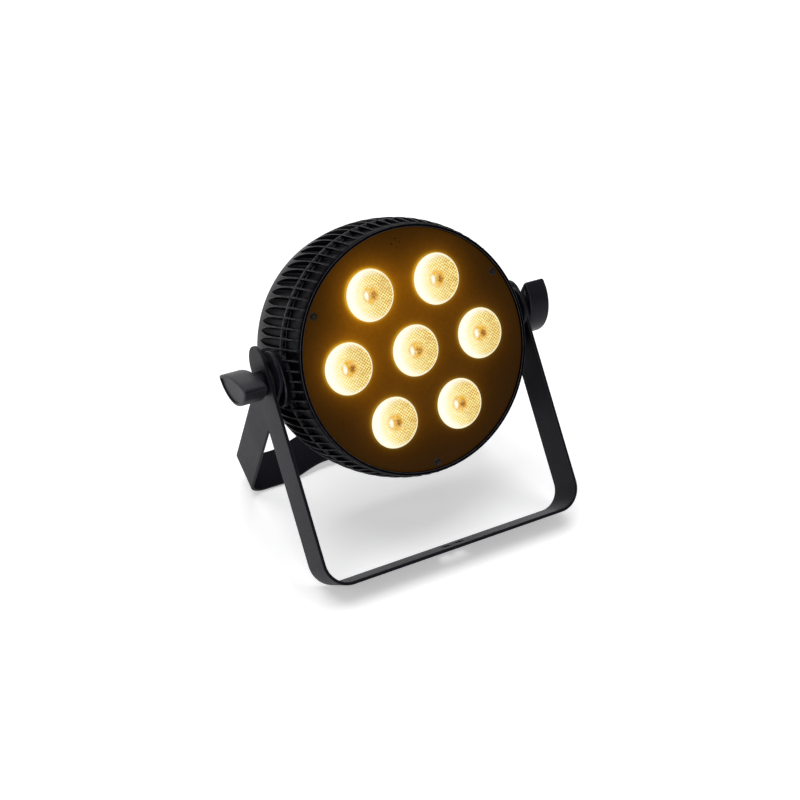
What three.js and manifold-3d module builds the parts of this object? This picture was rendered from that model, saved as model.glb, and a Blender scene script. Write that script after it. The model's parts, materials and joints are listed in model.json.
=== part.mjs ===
// LED par can light: a finned die-cast head on a double bracket, standing on its two crossbars.
// Millimetres, +Z up. The light shines towards -Y and tilts about an axis parallel to X.

import * as THREE from "three";
import { mergeVertices } from "three/addons/utils/BufferGeometryUtils.js";
import Module from "manifold-3d";

// ---- Driving dimensions ----

const GAP = 0.3; // clearance between pieces that touch on the real light

// Stance
const HEAD_TILT = 23.2; // degrees that the beam points above level
const FRONT_LEG_LEAN = 36.1; // degrees forward of straight down
const REAR_LEG_LEAN = 27.9; // degrees behind straight down

// Brackets, bent from flat bar
const BAR_WIDTH = 31.5;
const BAR_THICKNESS = 2.5;
const LEG_OVERRUN = 27.9; // how far a leg's round end reaches past the pivot
const FRONT_LEG = 157; // pivot to the crossbar's outer face
const FRONT_HALF_SPAN = 109.5; // to the leg's outer face
const FRONT_BEND = 19.5; // outer radius of the bends
const REAR_HALF_SPAN = 104.5;
const REAR_BEND = 14;
const REAR_STEP = 8.6; // the rear crossbar's middle steps back by this much
const REAR_STEP_FROM = 73; // where the step starts, from the middle of the bar
const REAR_STEP_TO = 31; // where it ends
const STUD_HOLE_R = 4.4;
const CLAMP_SLOT = { length: 7, width: 9, offset: 6 };
const CLAMP_PILOT_R = 1.5;
const REAR_CLAMP_HOLE_R = 5.5;

// Knobs and their studs
const STUD_R = 4;
const STUD_INNER_X = 84;
const STUD_OUTER_X = 126;
const KNOB_INNER_X = 115;
const KNOB_OUTER_X = 132.5;
const KNOB_LENGTH = 54;
const KNOB_BELLY = 16.5; // depth of the round side
const KNOB_CROWN = 4.5; // depth of the flatter side
const KNOB_HUB_R = 9.5;
const LEFT_KNOB_TURN = -14.6;
const RIGHT_KNOB_TURN = -79.2;
const WASHER_R = 14;

// Finned head. Depth is measured back from the plane of the front ring.
const PIVOT_DEPTH = 37;
const RING_R = 92.6;
const RING_INNER_R = 90.2;
const FIN_COUNT = 80;
const FIN_THICKNESS = 1.6;
const FIN_ROOT_R = 93.4;
const CREST_R = 98; // the fins' largest radius
const CREST_DEPTH = 40; // where it lies
const SHOULDER_R = 93.3;
const SHOULDER_DEPTH = 82;
const RING_DEPTH = 3; // the fins start behind this
const FIN_END_DEPTH = 64; // and run out into the shoulder here
const PARTING_DEPTH = 27; // the front casting meets the rear casting
const BACK_DEPTH = 92;
const WALL_INNER_R = 91;
const REAR_OPENING_R = 68;
const BOSS_R = 20.7;
const BOSS_STEM_R = 10; // inside the wall
const BOSS_FACE_X = 100.4;
const BOSS_INNER_X = 82;
const ROUND_SEGMENTS = 80;

// Optics
const LENS_PITCH_R = 55;
const LENS_COUNT = 6; // around the one in the middle
const LENS_OPENING_R = 19.15;
const PANEL_R = 89.8;
const PANEL_DEPTH = 1.4;
const PANEL_THICKNESS = 2.5;
const LEDGE_R = 83.2; // inner edge of the ledge that the panel is screwed to
const LEDGE_BACK = 12;
const PANEL_SCREW_RADIUS = 85.6;
const PANEL_SCREW_HOLE_R = 1.8;
const PANEL_SCREW_ANGLES = [30, 150, 270];
const SENSOR_RADIUS = 80;
const SENSOR_HOLE_R = 0.9;
const SENSOR_SPREAD = 3.4;
const LED_BOARD_DEPTH = 23;
const SPREADER_DEPTH = 25;

// Rear cover
const COVER_DEPTH = 88.6;
const COVER_THICKNESS = 2;
const COVER_R = 71.5;
const DISPLAY = { z: 40, width: 42, height: 17 };
const BUTTON_X = [-21, -7, 7, 21];
const BUTTON_Z = 20;
const BUTTON_R = 3.6;
const SIGNAL = { x: 27, z: -8, width: 26, height: 31, cup: 9.4 };
const POWER = { x: 20, z: -44, width: 26, height: 19 };
const FUSE_Z = -44;
const FUSE_R = 4.9;
const EYE_Z = 58;

const rad = THREE.MathUtils.degToRad;
const PIVOT_HEIGHT =
  FRONT_LEG * Math.cos(rad(FRONT_LEG_LEAN)) + (BAR_WIDTH / 2) * Math.sin(rad(FRONT_LEG_LEAN));
const REAR_LEG =
  (PIVOT_HEIGHT - (BAR_WIDTH / 2) * Math.sin(rad(REAR_LEG_LEAN))) / Math.cos(rad(REAR_LEG_LEAN));

// ---- Solids: closed meshes joined and cut with manifold-3d ----

const wasm = await Module();
wasm.setup();

function solid(geometry) {
  const bare = geometry.index ? geometry.toNonIndexed() : geometry.clone();
  bare.deleteAttribute("normal");
  bare.deleteAttribute("uv");
  const merged = mergeVertices(bare, 1e-4);
  return new wasm.Manifold(
    new wasm.Mesh({
      numProp: 3,
      vertProperties: new Float32Array(merged.attributes.position.array),
      triVerts: new Uint32Array(merged.index.array),
    }),
  );
}

function geometryOf(shape) {
  const mesh = shape.getMesh();
  const geometry = new THREE.BufferGeometry();
  geometry.setAttribute("position", new THREE.BufferAttribute(new Float32Array(mesh.vertProperties), 3));
  geometry.setIndex(new THREE.BufferAttribute(new Uint32Array(mesh.triVerts), 1));
  return geometry;
}

const join = (...shapes) => shapes.reduce((sum, shape) => sum.add(shape));
const cut = (body, ...tools) => tools.reduce((rest, tool) => rest.subtract(tool), body);

// ---- Basic shapes, each placed where it is used ----

function block(width, depth, height, x, y, z) {
  return solid(new THREE.BoxGeometry(width, depth, height).translate(x, y, z));
}

// A cylinder along X from x0 to x1 about (y, z).
function barX(radius, x0, x1, y = 0, z = 0, segments = 24) {
  const geometry = new THREE.CylinderGeometry(radius, radius, Math.abs(x1 - x0), segments);
  return solid(geometry.rotateZ(Math.PI / 2).translate((x0 + x1) / 2, y, z));
}

// A cylinder along Y, given by its two depths behind the front ring.
function plug(radius, depth0, depth1, x = 0, z = 0, segments = 24) {
  const geometry = new THREE.CylinderGeometry(radius, radius, depth1 - depth0, segments);
  return solid(geometry.translate(x, (depth0 + depth1) / 2 - PIVOT_DEPTH, z));
}

// A block in the head, given by its two depths.
function headBlock(width, height, depth0, depth1, x, z) {
  return block(width, depth1 - depth0, height, x, (depth0 + depth1) / 2 - PIVOT_DEPTH, z);
}

// A turned shape about the optical axis: profile points are [radius, depth].
function turned(profile, segments = ROUND_SEGMENTS, x = 0, z = 0) {
  const points = profile.map(([radius, depth]) => new THREE.Vector2(radius, depth - PIVOT_DEPTH));
  if (points[0].x > 0 || points[points.length - 1].x > 0) {
    points.push(points[0].clone());
  }
  const area = THREE.ShapeUtils.area(points);
  if (area < 0) {
    points.reverse();
  }
  return solid(new THREE.LatheGeometry(points, segments).translate(x, 0, z));
}

// A flat outline in X and Z, extruded along Y between two depths.
function plate(shape, depth0, depth1, curveSegments = 8) {
  const geometry = new THREE.ExtrudeGeometry(shape, {
    depth: depth1 - depth0,
    bevelEnabled: false,
    curveSegments,
  });
  return solid(geometry.rotateX(Math.PI / 2).translate(0, depth1 - PIVOT_DEPTH, 0));
}

function roundedRectangle(width, height, radius, x = 0, z = 0) {
  const shape = new THREE.Shape();
  const right = x + width / 2 - radius;
  const left = x - width / 2 + radius;
  const top = z + height / 2 - radius;
  const bottom = z - height / 2 + radius;
  shape.absarc(right, top, radius, 0, Math.PI / 2);
  shape.absarc(left, top, radius, Math.PI / 2, Math.PI);
  shape.absarc(left, bottom, radius, Math.PI, 1.5 * Math.PI);
  shape.absarc(right, bottom, radius, 1.5 * Math.PI, 2 * Math.PI);
  return shape;
}

const lensPlaces = [[0, 0]];
for (let i = 0; i < LENS_COUNT; i += 1) {
  const angle = (i * 2 * Math.PI) / LENS_COUNT;
  lensPlaces.push([LENS_PITCH_R * Math.cos(angle), LENS_PITCH_R * Math.sin(angle)]);
}

const panelScrewPlaces = PANEL_SCREW_ANGLES.map((angle) => [
  PANEL_SCREW_RADIUS * Math.cos(rad(angle)),
  PANEL_SCREW_RADIUS * Math.sin(rad(angle)),
]);

// ---- Brackets: a U of flat bar, legs down from the pivot, before it is leaned ----

function bentBar(halfSpan, legLength, bend, backWidth) {
  const outline = new THREE.Shape();
  const inner = halfSpan - BAR_THICKNESS;
  const innerBend = bend - BAR_THICKNESS;
  const floor = -legLength;
  outline.moveTo(-halfSpan, LEG_OVERRUN);
  outline.lineTo(-halfSpan, floor + bend);
  outline.absarc(-halfSpan + bend, floor + bend, bend, Math.PI, 1.5 * Math.PI);
  outline.absarc(halfSpan - bend, floor + bend, bend, 1.5 * Math.PI, 2 * Math.PI);
  outline.lineTo(halfSpan, LEG_OVERRUN);
  outline.lineTo(inner, LEG_OVERRUN);
  outline.lineTo(inner, floor + bend);
  outline.absarc(halfSpan - bend, floor + bend, innerBend, 0, -Math.PI / 2, true);
  outline.absarc(-halfSpan + bend, floor + bend, innerBend, -Math.PI / 2, -Math.PI, true);
  outline.lineTo(-inner, LEG_OVERRUN);
  const width = BAR_WIDTH + backWidth;
  const geometry = new THREE.ExtrudeGeometry(outline, { depth: width, bevelEnabled: false, curveSegments: 8 });
  return solid(geometry.rotateX(Math.PI / 2).translate(0, BAR_WIDTH / 2 + backWidth, 0));
}

// The side view of both legs: a bar with a round top end, reaching down to the given height.
function legOutline(bottom) {
  const half = BAR_WIDTH / 2;
  const outline = new THREE.Shape();
  outline.moveTo(-half, bottom);
  outline.lineTo(half, bottom);
  outline.absarc(0, LEG_OVERRUN - half, half, 0, Math.PI);
  const length = 2 * FRONT_HALF_SPAN + 2;
  const options = { depth: length, bevelEnabled: false, curveSegments: 12 };
  const geometry = new THREE.ExtrudeGeometry(outline, options);
  return solid(geometry.rotateX(Math.PI / 2).rotateZ(Math.PI / 2).translate(-length / 2, 0, 0));
}

function frontBracket() {
  const bar = bentBar(FRONT_HALF_SPAN, FRONT_LEG, FRONT_BEND, 0);
  const shaped = bar.intersect(legOutline(-FRONT_LEG - 1));
  const slots = [-1, 1].map((side) =>
    block(CLAMP_SLOT.length, CLAMP_SLOT.width, 8, side * CLAMP_SLOT.offset, 0, -FRONT_LEG),
  );
  const pilot = solid(new THREE.CylinderGeometry(CLAMP_PILOT_R, CLAMP_PILOT_R, 8, 12).rotateX(Math.PI / 2));
  return cut(
    shaped,
    barX(STUD_HOLE_R, -FRONT_HALF_SPAN - 1, FRONT_HALF_SPAN + 1),
    ...slots,
    pilot.rotate([90, 0, 0]).translate([0, 0, -FRONT_LEG]),
  );
}

// The rear crossbar's plan: its middle steps back on a smooth curve each side.
function steppedPlan() {
  const half = BAR_WIDTH / 2;
  const middle = (REAR_STEP_FROM + REAR_STEP_TO) / 2;
  const plan = new THREE.Shape();
  const edge = (y, direction) => {
    const end = direction * REAR_STEP_FROM;
    const start = direction * REAR_STEP_TO;
    const turn = direction * middle;
    plan.lineTo(-end, y);
    plan.bezierCurveTo(-turn, y, -turn, y + REAR_STEP, -start, y + REAR_STEP);
    plan.lineTo(start, y + REAR_STEP);
    plan.bezierCurveTo(turn, y + REAR_STEP, turn, y, end, y);
  };
  plan.moveTo(-REAR_HALF_SPAN - 1, -half);
  edge(-half, 1);
  plan.lineTo(REAR_HALF_SPAN + 1, -half);
  plan.lineTo(REAR_HALF_SPAN + 1, half);
  edge(half, -1);
  plan.lineTo(-REAR_HALF_SPAN - 1, half);
  const geometry = new THREE.ExtrudeGeometry(plan, { depth: REAR_BEND, bevelEnabled: false, curveSegments: 8 });
  return solid(geometry.translate(0, 0, -REAR_LEG - 1));
}

function rearBracket() {
  const bar = bentBar(REAR_HALF_SPAN, REAR_LEG, REAR_BEND, REAR_STEP);
  const shaped = bar.intersect(join(legOutline(-REAR_LEG + REAR_BEND / 2), steppedPlan()));
  const hole = solid(new THREE.CylinderGeometry(REAR_CLAMP_HOLE_R, REAR_CLAMP_HOLE_R, 8, 20));
  return cut(
    shaped,
    barX(STUD_HOLE_R, -REAR_HALF_SPAN - 1, REAR_HALF_SPAN + 1),
    hole.rotate([90, 0, 0]).translate([0, REAR_STEP, -REAR_LEG]),
  );
}

// ---- Clamp knobs, made for the right side and mirrored for the left ----

function halfMoon() {
  const half = KNOB_LENGTH / 2;
  const bellyR = (half * half + KNOB_BELLY * KNOB_BELLY) / (2 * KNOB_BELLY);
  const crownR = (half * half + KNOB_CROWN * KNOB_CROWN) / (2 * KNOB_CROWN);
  const bellyAngle = Math.asin(half / bellyR);
  const crownAngle = Math.asin(half / crownR);
  const lift = (KNOB_BELLY - KNOB_CROWN) / 2;
  const up = Math.PI / 2;
  const outline = new THREE.Shape();
  outline.absarc(0, lift + bellyR - KNOB_BELLY, bellyR, -up - bellyAngle, -up + bellyAngle);
  outline.absarc(0, lift - crownR + KNOB_CROWN, crownR, up - crownAngle, up + crownAngle);
  return outline;
}

function knob(side) {
  const geometry = new THREE.ExtrudeGeometry(halfMoon(), {
    depth: KNOB_OUTER_X - KNOB_INNER_X,
    bevelEnabled: false,
    curveSegments: 14,
  });
  const handle = solid(geometry.rotateX(Math.PI / 2).rotateZ(Math.PI / 2));
  const inner = side > 0 ? KNOB_INNER_X : -KNOB_OUTER_X;
  const hub = barX(KNOB_HUB_R, side * (FRONT_HALF_SPAN + GAP), side * (KNOB_INNER_X + 2));
  const bore = barX(STUD_R + GAP, side * FRONT_HALF_SPAN, side * (STUD_OUTER_X + GAP));
  return cut(join(handle.translate([inner, 0, 0]), hub), bore);
}

function washer(side, from, to) {
  const disc = barX(WASHER_R, side * from, side * to, 0, 0, 20);
  return cut(disc, barX(STUD_HOLE_R, side * (from - 1), side * (to + 1), 0, 0, 12));
}

// ---- Head castings ----

function crestRadius(depth) {
  const front = (CREST_R - RING_R - GAP) / CREST_DEPTH ** 2;
  const rear = (CREST_R - SHOULDER_R) / (SHOULDER_DEPTH - CREST_DEPTH) ** 2;
  return CREST_R - (depth < CREST_DEPTH ? front : rear) * (depth - CREST_DEPTH) ** 2;
}

// A sleeve with the fins standing out of it. The fins' tips follow the arched crest.
function finnedSleeve(depth0, depth1) {
  const points = [];
  const pitch = (2 * Math.PI) / FIN_COUNT;
  const rootHalf = (0.7 * FIN_THICKNESS) / FIN_ROOT_R;
  const tipHalf = (0.5 * FIN_THICKNESS) / CREST_R;
  for (let i = 0; i < FIN_COUNT; i += 1) {
    const middle = i * pitch;
    for (const [radius, angle] of [
      [FIN_ROOT_R, middle - rootHalf],
      [CREST_R, middle - tipHalf],
      [CREST_R, middle + tipHalf],
      [FIN_ROOT_R, middle + rootHalf],
    ]) {
      points.push(new THREE.Vector2(radius * Math.cos(angle), radius * Math.sin(angle)));
    }
  }
  const outline = new THREE.Shape(points);
  const hole = new THREE.Path();
  hole.absarc(0, 0, WALL_INNER_R, 0, 2 * Math.PI);
  outline.holes.push(hole);
  const geometry = new THREE.ExtrudeGeometry(outline, {
    depth: depth1 - depth0,
    bevelEnabled: false,
    curveSegments: FIN_COUNT / 4,
  });
  geometry.rotateX(-Math.PI / 2).translate(0, depth0 - PIVOT_DEPTH, 0);
  const position = geometry.attributes.position;
  const midway = (FIN_ROOT_R + CREST_R) / 2;
  for (let i = 0; i < position.count; i += 1) {
    const radius = Math.hypot(position.getX(i), position.getZ(i));
    if (radius > midway) {
      const scale = crestRadius(position.getY(i) + PIVOT_DEPTH) / radius;
      position.setXYZ(i, position.getX(i) * scale, position.getY(i), position.getZ(i) * scale);
    }
  }
  return solid(geometry);
}

function frontBezel() {
  const ring = turned([
    [RING_INNER_R, 0],
    [RING_R, 0],
    [RING_R + GAP, RING_DEPTH + 0.2],
    [WALL_INNER_R - 0.2, LEDGE_BACK],
    [LEDGE_R, LEDGE_BACK],
    [LEDGE_R, PANEL_DEPTH + PANEL_THICKNESS + GAP],
    [RING_INNER_R, PANEL_DEPTH + PANEL_THICKNESS + GAP],
  ]);
  const bosses = [-1, 1].map((side) => barX(BOSS_R + 2 * GAP, side * 80, side * 110, 0, 0, 32));
  const screwHoles = panelScrewPlaces.map(([x, z]) => plug(PANEL_SCREW_HOLE_R, 0, LEDGE_BACK + 1, x, z, 10));
  const sleeve = finnedSleeve(RING_DEPTH, PARTING_DEPTH);
  return cut(join(ring, sleeve), ...bosses, ...screwHoles);
}

function rearHousing() {
  const shell = turned([
    [WALL_INNER_R, FIN_END_DEPTH - 0.4],
    [crestRadius(FIN_END_DEPTH), FIN_END_DEPTH - 0.2],
    [SHOULDER_R, SHOULDER_DEPTH],
    [84, BACK_DEPTH],
    [COVER_R + GAP, BACK_DEPTH],
    [COVER_R + GAP, COVER_DEPTH - GAP],
    [REAR_OPENING_R, COVER_DEPTH - GAP],
    [REAR_OPENING_R, COVER_DEPTH - 3],
    [WALL_INNER_R - 4, COVER_DEPTH - 6],
  ]);
  const sleeve = finnedSleeve(PARTING_DEPTH + GAP, FIN_END_DEPTH);
  const bosses = [-1, 1].map((side) =>
    join(
      barX(BOSS_R, side * (WALL_INNER_R + 0.6), side * BOSS_FACE_X, 0, 0, 32),
      barX(BOSS_STEM_R, side * BOSS_INNER_X, side * (WALL_INNER_R + 4)),
    ),
  );
  const bores = [-1, 1].map((side) =>
    barX(STUD_HOLE_R, side * (BOSS_INNER_X + 1), side * (BOSS_FACE_X + 1)),
  );
  return cut(join(shell, sleeve, ...bosses), ...bores);
}

function housingSeal() {
  const outer = WALL_INNER_R - GAP;
  const ring = turned(
    [
      [outer - 3.5, PARTING_DEPTH - 2.2],
      [outer, PARTING_DEPTH - 2.2],
      [outer, PARTING_DEPTH + 2.2],
      [outer - 3.5, PARTING_DEPTH + 2.2],
    ],
    48,
  );
  return cut(ring, barX(BOSS_STEM_R + 2 * GAP, -BOSS_FACE_X, BOSS_FACE_X));
}

function frontPanel() {
  const outline = new THREE.Shape();
  outline.absarc(0, 0, PANEL_R, 0, 2 * Math.PI);
  const hole = (x, z, radius) => {
    const path = new THREE.Path();
    path.absarc(x, z, radius, 0, 2 * Math.PI);
    outline.holes.push(path);
  };
  lensPlaces.forEach(([x, z]) => hole(x, z, LENS_OPENING_R));
  const panel = plate(outline, PANEL_DEPTH, PANEL_DEPTH + PANEL_THICKNESS, 10);
  const through = [0, PANEL_DEPTH + PANEL_THICKNESS + 1];
  const screws = panelScrewPlaces.map(([x, z]) => plug(PANEL_SCREW_HOLE_R, ...through, x, z, 10));
  const sensors = [
    [0, SENSOR_SPREAD],
    [SENSOR_SPREAD, 0],
    [0, -SENSOR_SPREAD],
    [-SENSOR_SPREAD, 0],
  ].map(([x, z]) => plug(SENSOR_HOLE_R, ...through, x, SENSOR_RADIUS + z, 6));
  return cut(panel, ...screws, ...sensors);
}

function panelScrew(angle) {
  const x = PANEL_SCREW_RADIUS * Math.cos(rad(angle));
  const z = PANEL_SCREW_RADIUS * Math.sin(rad(angle));
  const profile = [
    [0, 0.1],
    [3, 0.1],
    [3, PANEL_DEPTH - GAP],
    [1.5, PANEL_DEPTH - GAP],
    [1.5, 10],
    [0, 10],
  ];
  return turned(profile, 12, x, z);
}

// ---- Optics ----

function lens([x, z]) {
  const profile = [
    [0, 2.4],
    [18.7, 2.4],
    [18.7, 4.3],
    [20.4, 4.3],
    [20.4, 6],
    [8, 19.4],
    [4.6, 19.4],
    [3.6, 14],
    [0, 14],
  ];
  return turned(profile, 16, x, z);
}

function lensHolder([x, z]) {
  const profile = [
    [20.8, 4.4],
    [22.2, 4.4],
    [22.2, 22.6],
    [5.2, 22.6],
    [5.2, 20],
    [20.8, 20],
  ];
  return turned(profile, 16, x, z);
}

function emitter([x, z]) {
  return headBlock(6.4, 6.4, 21, LED_BOARD_DEPTH - GAP, x, z);
}

// ---- Rear cover and what it carries ----

function connectorOpening(side, spec, shape) {
  return plate(shape, COVER_DEPTH - 1, COVER_DEPTH + COVER_THICKNESS + 1).translate([side * spec.x, 0, 0]);
}

function rearCover() {
  const disc = plug(COVER_R, COVER_DEPTH, COVER_DEPTH + COVER_THICKNESS, 0, 0, 48);
  const through = [COVER_DEPTH - 1, COVER_DEPTH + COVER_THICKNESS + 1];
  const window = headBlock(DISPLAY.width - 6, DISPLAY.height - 5, ...through, 0, DISPLAY.z);
  const buttons = BUTTON_X.map((x) => plug(BUTTON_R + GAP, ...through, x, BUTTON_Z, 12));
  const signals = [-1, 1].map((side) => plug(SIGNAL.cup + 2.3, ...through, side * SIGNAL.x, SIGNAL.z));
  const power = [-1, 1].map((side) =>
    connectorOpening(side, POWER, roundedRectangle(POWER.width - 3, POWER.height - 3, 2, 0, POWER.z)),
  );
  const fuse = plug(FUSE_R - 1.2, ...through, 0, FUSE_Z, 16);
  return cut(disc, window, ...buttons, ...signals, ...power, fuse);
}

const COVER_FACE = COVER_DEPTH + COVER_THICKNESS + GAP;

function displayWindow() {
  return plate(roundedRectangle(DISPLAY.width, DISPLAY.height, 2.5, 0, DISPLAY.z), COVER_FACE, COVER_FACE + 1.2, 3);
}

function menuButton(x) {
  return plug(BUTTON_R, COVER_DEPTH - 5, COVER_FACE + 2.2, x, BUTTON_Z, 12);
}

// The male socket is a deep cup, the female one a plug face with a release tab above it.
function signalSocket(side, isCup) {
  const x = side * SIGNAL.x;
  const flange = plate(roundedRectangle(SIGNAL.width, SIGNAL.height, 3, x, SIGNAL.z), COVER_FACE, COVER_FACE + 2.4, 4);
  const barrel = plug(SIGNAL.cup + 1.8, COVER_DEPTH - 12, COVER_FACE + 1, x, SIGNAL.z);
  const body = join(flange, barrel);
  if (isCup) {
    return cut(body, plug(SIGNAL.cup, COVER_DEPTH - 9, COVER_FACE + 4, x, SIGNAL.z));
  }
  const moat = cut(
    plug(SIGNAL.cup, COVER_DEPTH - 9, COVER_FACE + 4, x, SIGNAL.z),
    plug(SIGNAL.cup - 2.2, COVER_DEPTH - 10, COVER_FACE + 5, x, SIGNAL.z),
  );
  return cut(body, moat, headBlock(8.6, 5, COVER_FACE + 0.35, COVER_FACE + 4, x, SIGNAL.z + 12.4));
}

function outputLatch() {
  return headBlock(8, 4.2, COVER_FACE + 1.5, COVER_FACE + 4, SIGNAL.x, SIGNAL.z + 12.4);
}

// The inlet is an open cup for a plug, the outlet a block with three slots.
function powerSocket(side, isInlet) {
  const x = side * POWER.x;
  const flange = plate(roundedRectangle(POWER.width, POWER.height, 2.5, x, POWER.z), COVER_FACE, COVER_FACE + 2, 4);
  const shape = roundedRectangle(POWER.width - 4, POWER.height - 4, 2, x, POWER.z);
  const body = join(flange, plate(shape, COVER_DEPTH - 14, COVER_FACE + 1, 4));
  if (isInlet) {
    return cut(body, plate(roundedRectangle(19, 12.5, 2, x, POWER.z), COVER_DEPTH - 11, COVER_FACE + 4, 4));
  }
  const slots = [
    [-5, 1.6],
    [5, 1.6],
    [0, -1.8],
  ].map(([dx, dz]) => headBlock(2, 4.4, COVER_DEPTH - 9, COVER_FACE + 4, x + dx, POWER.z + dz));
  return cut(body, ...slots);
}

function fuseCap() {
  const cap = plug(FUSE_R, COVER_FACE, COVER_FACE + 5, 0, FUSE_Z, 20);
  const stem = plug(FUSE_R - 1.6, COVER_DEPTH - 16, COVER_FACE + 1, 0, FUSE_Z, 16);
  return cut(join(cap, stem), headBlock(7, 1.2, COVER_FACE + 3.8, COVER_FACE + 6, 0, FUSE_Z));
}

// A staple of round wire on a small foot, for the safety cable.
function safetyEye() {
  const foot = headBlock(26, 6, COVER_FACE, COVER_FACE + 1.6, 0, EYE_Z);
  const start = COVER_FACE + 1 - PIVOT_DEPTH;
  const path = new THREE.CurvePath();
  const left = new THREE.Vector3(-8.5, start, EYE_Z);
  const right = new THREE.Vector3(8.5, start, EYE_Z);
  const reach = 15;
  const corners = [left, new THREE.Vector3(-8.5, start + reach, EYE_Z)];
  corners.push(new THREE.Vector3(8.5, start + reach, EYE_Z), right);
  path.add(new THREE.CubicBezierCurve3(...corners));
  const wire = new THREE.Shape();
  wire.absarc(0, 0, 1.8, 0, 2 * Math.PI);
  const geometry = new THREE.ExtrudeGeometry(wire, { extrudePath: path, steps: 12, curveSegments: 8 });
  return join(foot, solid(geometry));
}

// ---- Materials ----

function material(color, roughness, metalness) {
  return new THREE.MeshStandardMaterial({ color, roughness, metalness });
}

const finish = {
  powderCoat: () => material(0x2a2b2f, 0.55, 0.2),
  casting: () => material(0x232427, 0.5, 0.25),
  moulded: () => material(0x3a3b3f, 0.6, 0),
  steel: () => material(0x9a9ca0, 0.35, 1),
  rubber: () => material(0x151515, 0.9, 0),
  panel: () => material(0x191817, 0.6, 0),
  lens: () => material(0xfff0c0, 0.15, 0),
  holder: () => material(0x1b1b1b, 0.7, 0),
  emitter: () => material(0xffd070, 0.4, 0),
  aluminium: () => material(0xb9bcc0, 0.4, 1),
  board: () => material(0x1f5a35, 0.6, 0),
  whiteBoard: () => material(0xe8e8e4, 0.5, 0),
  component: () => material(0x202226, 0.5, 0),
  gloss: () => material(0x0b0b0c, 0.15, 0),
  inletBlue: () => material(0x22242a, 0.5, 0),
};

function mesh(name, shape, finishName) {
  const piece = new THREE.Mesh(geometryOf(shape), finish[finishName]());
  piece.name = name;
  return piece;
}

// ---- Assembly ----

const head = new THREE.Group();
head.rotation.x = rad(-HEAD_TILT);
head.add(
  mesh("front_bezel", frontBezel(), "casting"),
  mesh("rear_housing", rearHousing(), "casting"),
  mesh("housing_seal", housingSeal(), "rubber"),
  mesh("front_panel", frontPanel(), "panel"),
);
PANEL_SCREW_ANGLES.forEach((angle, i) => {
  head.add(mesh(`panel_screw_${i + 1}`, panelScrew(angle), "steel"));
});
lensPlaces.forEach((place, i) => {
  head.add(
    mesh(`lens_${i + 1}`, lens(place), "lens"),
    mesh(`lens_holder_${i + 1}`, lensHolder(place), "holder"),
    mesh(`led_emitter_${i + 1}`, emitter(place), "emitter"),
  );
});
head.add(
  mesh("led_board", plug(78, LED_BOARD_DEPTH, SPREADER_DEPTH - GAP, 0, 0, 48), "whiteBoard"),
  mesh("heat_spreader", plug(81, SPREADER_DEPTH, SPREADER_DEPTH + 4, 0, 0, 48), "aluminium"),
  mesh("microphone", plug(2.4, 4.3, 9, 0, SENSOR_RADIUS - 0.2, 12), "component"),
  mesh("power_supply_board", headBlock(110, 76, 66, 67.6, 0, -12), "board"),
  mesh("supply_transformer", headBlock(28, 24, 44, 66 - GAP, -28, -20), "component"),
  mesh("supply_capacitor", plug(9, 40, 66 - GAP, 14, -20, 20), "component"),
  mesh("control_board", headBlock(60, 30, 74, 75.6, 0, 34), "board"),
  mesh("display_module", headBlock(34, 11, 75.6 + GAP, 89.5, 0, DISPLAY.z), "component"),
  mesh("rear_cover", rearCover(), "powderCoat"),
  mesh("display_window", displayWindow(), "gloss"),
  mesh("signal_input", signalSocket(-1, true), "component"),
  mesh("signal_output", signalSocket(1, false), "component"),
  mesh("output_latch", outputLatch(), "steel"),
  mesh("power_inlet", powerSocket(-1, true), "inletBlue"),
  mesh("power_outlet", powerSocket(1, false), "moulded"),
  mesh("fuse_cap", fuseCap(), "gloss"),
  mesh("safety_eye", safetyEye(), "steel"),
);
BUTTON_X.forEach((x, i) => {
  head.add(mesh(`menu_button_${i + 1}`, menuButton(x), "moulded"));
});

const frontBracketMesh = mesh("front_bracket", frontBracket(), "powderCoat");
frontBracketMesh.rotation.x = rad(-FRONT_LEG_LEAN);
const rearBracketMesh = mesh("rear_bracket", rearBracket(), "powderCoat");
rearBracketMesh.rotation.x = rad(REAR_LEG_LEAN);

const pivot = new THREE.Group();
pivot.add(head, frontBracketMesh, rearBracketMesh);
for (const [name, side, turn] of [
  ["left", -1, LEFT_KNOB_TURN],
  ["right", 1, RIGHT_KNOB_TURN],
]) {
  const knobMesh = mesh(`${name}_knob`, knob(side), "moulded");
  knobMesh.rotation.x = rad(turn);
  pivot.add(
    knobMesh,
    mesh(`${name}_knob_stud`, barX(STUD_R, side * STUD_INNER_X, side * STUD_OUTER_X), "steel"),
    mesh(`${name}_inner_washer`, washer(side, BOSS_FACE_X + GAP, 101.7), "rubber"),
    mesh(`${name}_outer_washer`, washer(side, 104.8, 106.7), "rubber"),
  );
}

// The pivot stands over the origin's Y by half the difference of the reaches of the two brackets.
const frontReach =
  FRONT_LEG * Math.sin(rad(FRONT_LEG_LEAN)) + (BAR_WIDTH / 2) * Math.cos(rad(FRONT_LEG_LEAN));
const rearReach =
  REAR_LEG * Math.sin(rad(REAR_LEG_LEAN)) + (BAR_WIDTH / 2 + REAR_STEP) * Math.cos(rad(REAR_LEG_LEAN));
pivot.position.set(0, (frontReach - rearReach) / 2, PIVOT_HEIGHT);

const light = new THREE.Group();
light.add(pivot);

export default light;
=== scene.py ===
"""LED par can light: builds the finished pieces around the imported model, and the studio they stand in."""

import json
import math

import bmesh
import bpy
from mathutils import Matrix, Vector


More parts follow.
